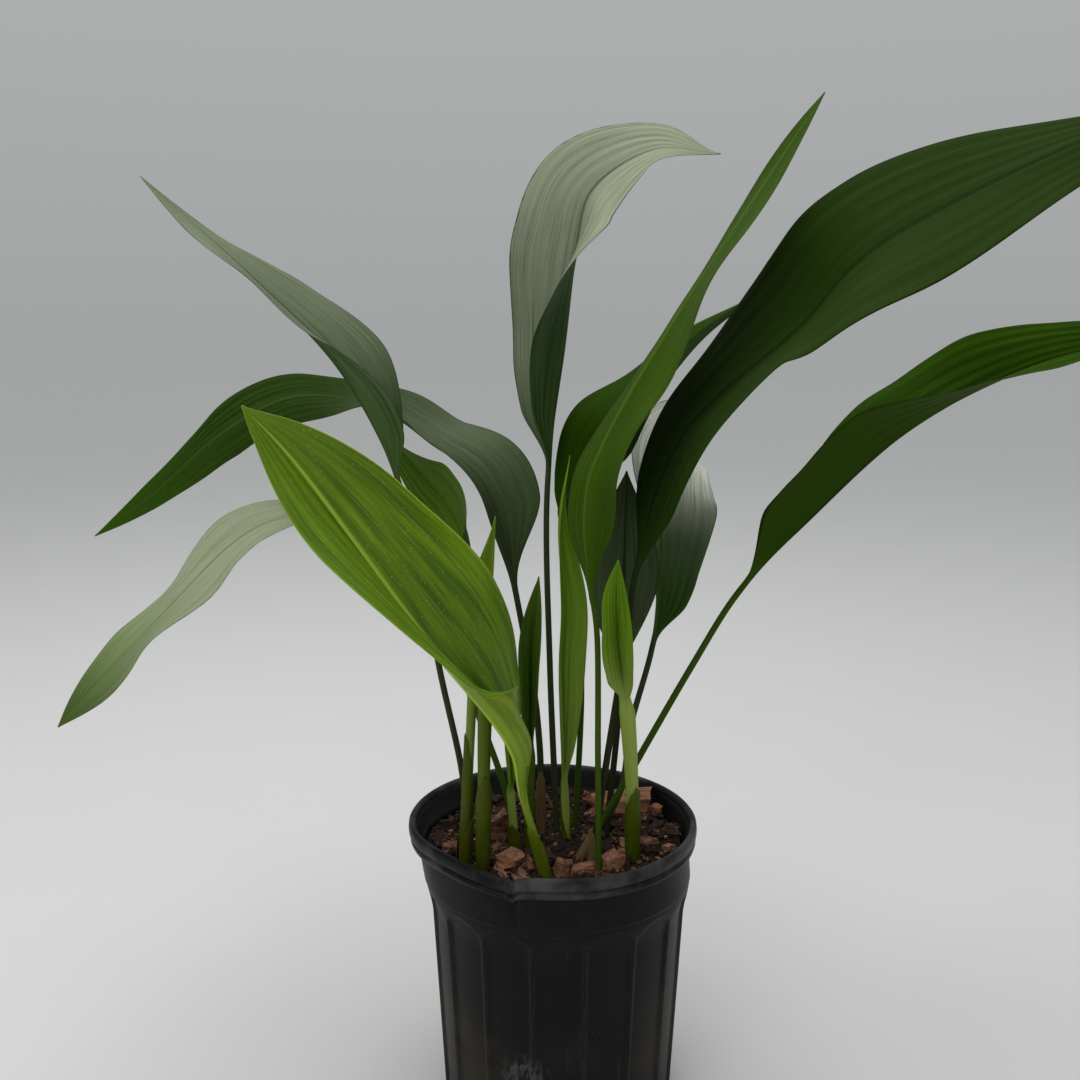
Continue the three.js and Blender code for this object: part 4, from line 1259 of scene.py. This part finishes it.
def build_sheath(node, shoot, top, layer, opens, state, material):
    """Wraps a ribbed sheet round the stalk. Its two edges leave a slit, beside which the top slants."""
    leaf = next(leaf for leaf in LEAVES if leaf.node == shoot)
    midrib = Midrib(leaf)
    start = leaf.start + midrib.buried
    bm = bmesh.new()
    rows = max(16, round(top / SHEATH_STEP))
    bmesh.ops.create_grid(bm, x_segments=rows, y_segments=SHEATH_COLUMNS, size=1.0)
    cells = vert_places(bm)
    run = (cells[:, 0] + 1) / 2
    from_middle = cells[:, 1]
    slant = SHEATH_SLANT * np.abs(from_middle) ** 1.6 * smooth(0.3, 0.7, run)
    ragged = RAGGED_SHARE * np.sin(from_middle * RAGGED_PACE + opens) * smooth(0.8, 0.2, run)
    distance = top * run * (1 - slant + ragged)
    inner = sheath_inner_radius(stalk_radius(leaf, distance / start), layer)
    hug = 1 - TOP_HUG * smooth(0.75, 0.25, run) * (1 - np.abs(from_middle))
    ribs = SHEATH_RIB_HEIGHT * np.cos(from_middle * SHEATH_RIBS)
    radius = (inner + 0.5 * SHEATH_WALL) * hug + ribs
    place, _, side, face = midrib.frames(distance, np.zeros_like(distance))
    aim = np.array([math.sin(math.radians(opens)), -math.cos(math.radians(opens)), 0])
    slit = np.arctan2(face @ aim, side @ aim)
    angle = slit + math.pi + from_middle / 2 * math.radians(SHEATH_DEGREES)
    x, y = radius * np.cos(angle), radius * np.sin(angle)
    values = {"across": from_middle, "run": distance / SHEATH_RUN}
    move_verts(bm, place + side * x[:, None] + face * y[:, None], values)
    bmesh.ops.recalc_face_normals(bm, faces=bm.faces)
    bmesh.ops.solidify(bm, geom=bm.faces[:], thickness=SHEATH_SKIN * MM)
    bmesh.ops.recalc_face_normals(bm, faces=bm.faces)
    return finish_piece(f"wrapped_{node}", bm, [node], material)


# ---------- operators ----------
class PLANT_OT_pot(bpy.types.Operator):
    """Spin the pot's shell, flute its wall, knock its lip and drill its drain holes"""

    bl_idname = "plant.pot"
    bl_label = "Nursery pot"

    def execute(self, context):
        build_pot(context.scene.plant_colours)
        return {"FINISHED"}


class PLANT_OT_potting_mix(bpy.types.Operator):
    """Fill the pot with mix and strew it with flakes of bark and crumbs"""

    bl_idname = "plant.potting_mix"
    bl_label = "Potting mix and bark"

    def execute(self, context):
        sizes = context.scene.plant_sizes
        colours = context.scene.plant_colours
        build_mix(colours)
        flakes = build_bark(sizes, colours)
        build_crumbs(sizes, flakes.data.materials[0])
        return {"FINISHED"}


class PLANT_OT_rhizome(bpy.types.Operator):
    """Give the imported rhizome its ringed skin"""

    bl_idname = "plant.rhizome"
    bl_label = "Rhizome"

    def execute(self, context):
        skin = rhizome_material()
        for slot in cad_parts["rhizome"].material_slots:
            slot.material = skin
        return {"FINISHED"}


class PLANT_OT_leaves(bpy.types.Operator):
    """Grow every leaf along its midrib"""

    bl_idname = "plant.leaves"
    bl_label = "Leaves"

    def execute(self, context):
        for seed, leaf in enumerate(LEAVES):
            build_leaf(leaf, context.scene.plant_sizes, seed)
        return {"FINISHED"}


class PLANT_OT_sheaths(bpy.types.Operator):
    """Wrap the sheaths round the feet of the shoots"""

    bl_idname = "plant.sheaths"
    bl_label = "Sheaths"

    def execute(self, context):
        green = tuple(context.scene.plant_colours.sheath_green)
        straw = tuple(context.scene.plant_colours.sheath_dry)
        skins = {
            "living": sheath_material("living_sheath", green, 30.0),
            "fresh": sheath_material("fresh_sheath", tuple(1.8 * part for part in green), 30.0),
            "dried": sheath_material("dried_sheath", straw, 44.0),
        }
        for row in SHEATHS:
            build_sheath(*row, skins[row[-1]])
        return {"FINISHED"}


# ---------- stage ----------
CAMERA_PLACE = (-4.0, -741.589, 521.19)
CAMERA_PITCH = 0.173862
CAMERA_YAW = 0.0113458
CAMERA_LENS = 38.33
SENSOR_WIDTH = 36.0
FLOOR_REACH = 14.0
HORIZON_LIGHT = 0.37
ZENITH_LIGHT = 0.6
SKY_TINT = (0.97, 0.99, 1.0, 1.0)

# Name, place, aim, size, power and tint, in metres and watts.
LIGHTS = (
    ("overhead light", (-0.3, 0.1, 2.15), (0, 0, 0.35), (2.2, 1.6), 24.0, (1.0, 1.0, 1.0)),
    ("front light", (-0.9, -1.9, 1.5), (0, 0, 0.3), (1.2, 1.2), 8.0, (1.0, 0.98, 0.95)),
)


def add_area_light(name, place, aim, size, power, tint):
    light = bpy.data.lights.new(name, "AREA")
    light.shape = "RECTANGLE"
    light.size, light.size_y = size
    light.energy = power
    light.color = tint
    lamp = add_object(name, light)
    lamp.location = place
    lamp.rotation_euler = (Vector(aim) - Vector(place)).to_track_quat("-Z", "Y").to_euler()


def add_camera():
    camera = bpy.data.cameras.new("camera")
    camera.sensor_fit = "HORIZONTAL"
    camera.sensor_width = SENSOR_WIDTH
    camera.lens = CAMERA_LENS
    camera.clip_end = 100.0
    holder = add_object("camera", camera)
    holder.location = Vector(CAMERA_PLACE) * MM
    holder.rotation_euler = (math.pi / 2 - CAMERA_PITCH, 0.0, CAMERA_YAW)
    bpy.context.scene.camera = holder


def add_floor(colours):
    bm = bmesh.new()
    bmesh.ops.create_circle(bm, cap_ends=True, segments=96, radius=FLOOR_REACH)
    mesh = mesh_of("studio_floor", bm)
    mesh.materials.append(floor_material(colours))
    floor = add_object("studio_floor", mesh)


def pale_world():
    """A plain sky that is a little brighter overhead than at the horizon."""
    world = bpy.data.worlds.new("pale studio")
    world.use_nodes = True
    nodes, links = world.node_tree.nodes, world.node_tree.links
    height = nodes.new("ShaderNodeSeparateXYZ")
    links.new(nodes.new("ShaderNodeTexCoord").outputs["Generated"], height.inputs[0])
    grade = nodes.new("ShaderNodeMapRange")
    grade.inputs["To Min"].default_value = HORIZON_LIGHT
    grade.inputs["To Max"].default_value = ZENITH_LIGHT
    links.new(height.outputs["Z"], grade.inputs["Value"])
    backdrop = nodes["Background"]
    backdrop.inputs["Color"].default_value = SKY_TINT
    links.new(grade.outputs["Result"], backdrop.inputs["Strength"])
    return world


class PLANT_OT_stage(bpy.types.Operator):
    """Set the camera, the pale floor and the soft lights"""

    bl_idname = "plant.stage"
    bl_label = "Stage"

    def execute(self, context):
        add_camera()
        add_floor(context.scene.plant_colours)
        context.scene.world = pale_world()
        context.scene.view_settings.view_transform = "Standard"
        for row in LIGHTS:
            add_area_light(*row)
        return {"FINISHED"}


class PLANT_PT_panel(bpy.types.Panel):
    """Lists the steps that dress the plant, with their sizes and colours"""

    bl_idname = "PLANT_PT_panel"
    bl_label = "Cast iron plant"
    bl_space_type = "VIEW_3D"
    bl_region_type = "UI"
    bl_category = "Plant"

    def draw(self, context):
        layout = self.layout
        for group in (context.scene.plant_sizes, context.scene.plant_colours):
            for name in group.__annotations__:
                layout.prop(group, name)
        for operator in OPERATORS:
            layout.operator(operator.bl_idname)


OPERATORS = (
    PLANT_OT_stage,
    PLANT_OT_pot,
    PLANT_OT_potting_mix,
    PLANT_OT_rhizome,
    PLANT_OT_leaves,
    PLANT_OT_sheaths,
)
CLASSES = (PlantSizes, PlantColours, *OPERATORS, PLANT_PT_panel)


def register():
    for cls in CLASSES:
        bpy.utils.register_class(cls)
    bpy.types.Scene.plant_sizes = bpy.props.PointerProperty(type=PlantSizes)
    bpy.types.Scene.plant_colours = bpy.props.PointerProperty(type=PlantColours)


def unregister():
    del bpy.types.Scene.plant_colours
    del bpy.types.Scene.plant_sizes
    for cls in reversed(CLASSES):
        bpy.utils.unregister_class(cls)


def main():
    register()
    bpy.ops.plant.stage()
    bpy.ops.plant.pot()
    bpy.ops.plant.potting_mix()
    bpy.ops.plant.rhizome()
    bpy.ops.plant.leaves()
    bpy.ops.plant.sheaths()


if __name__ == "__main__":
    main()
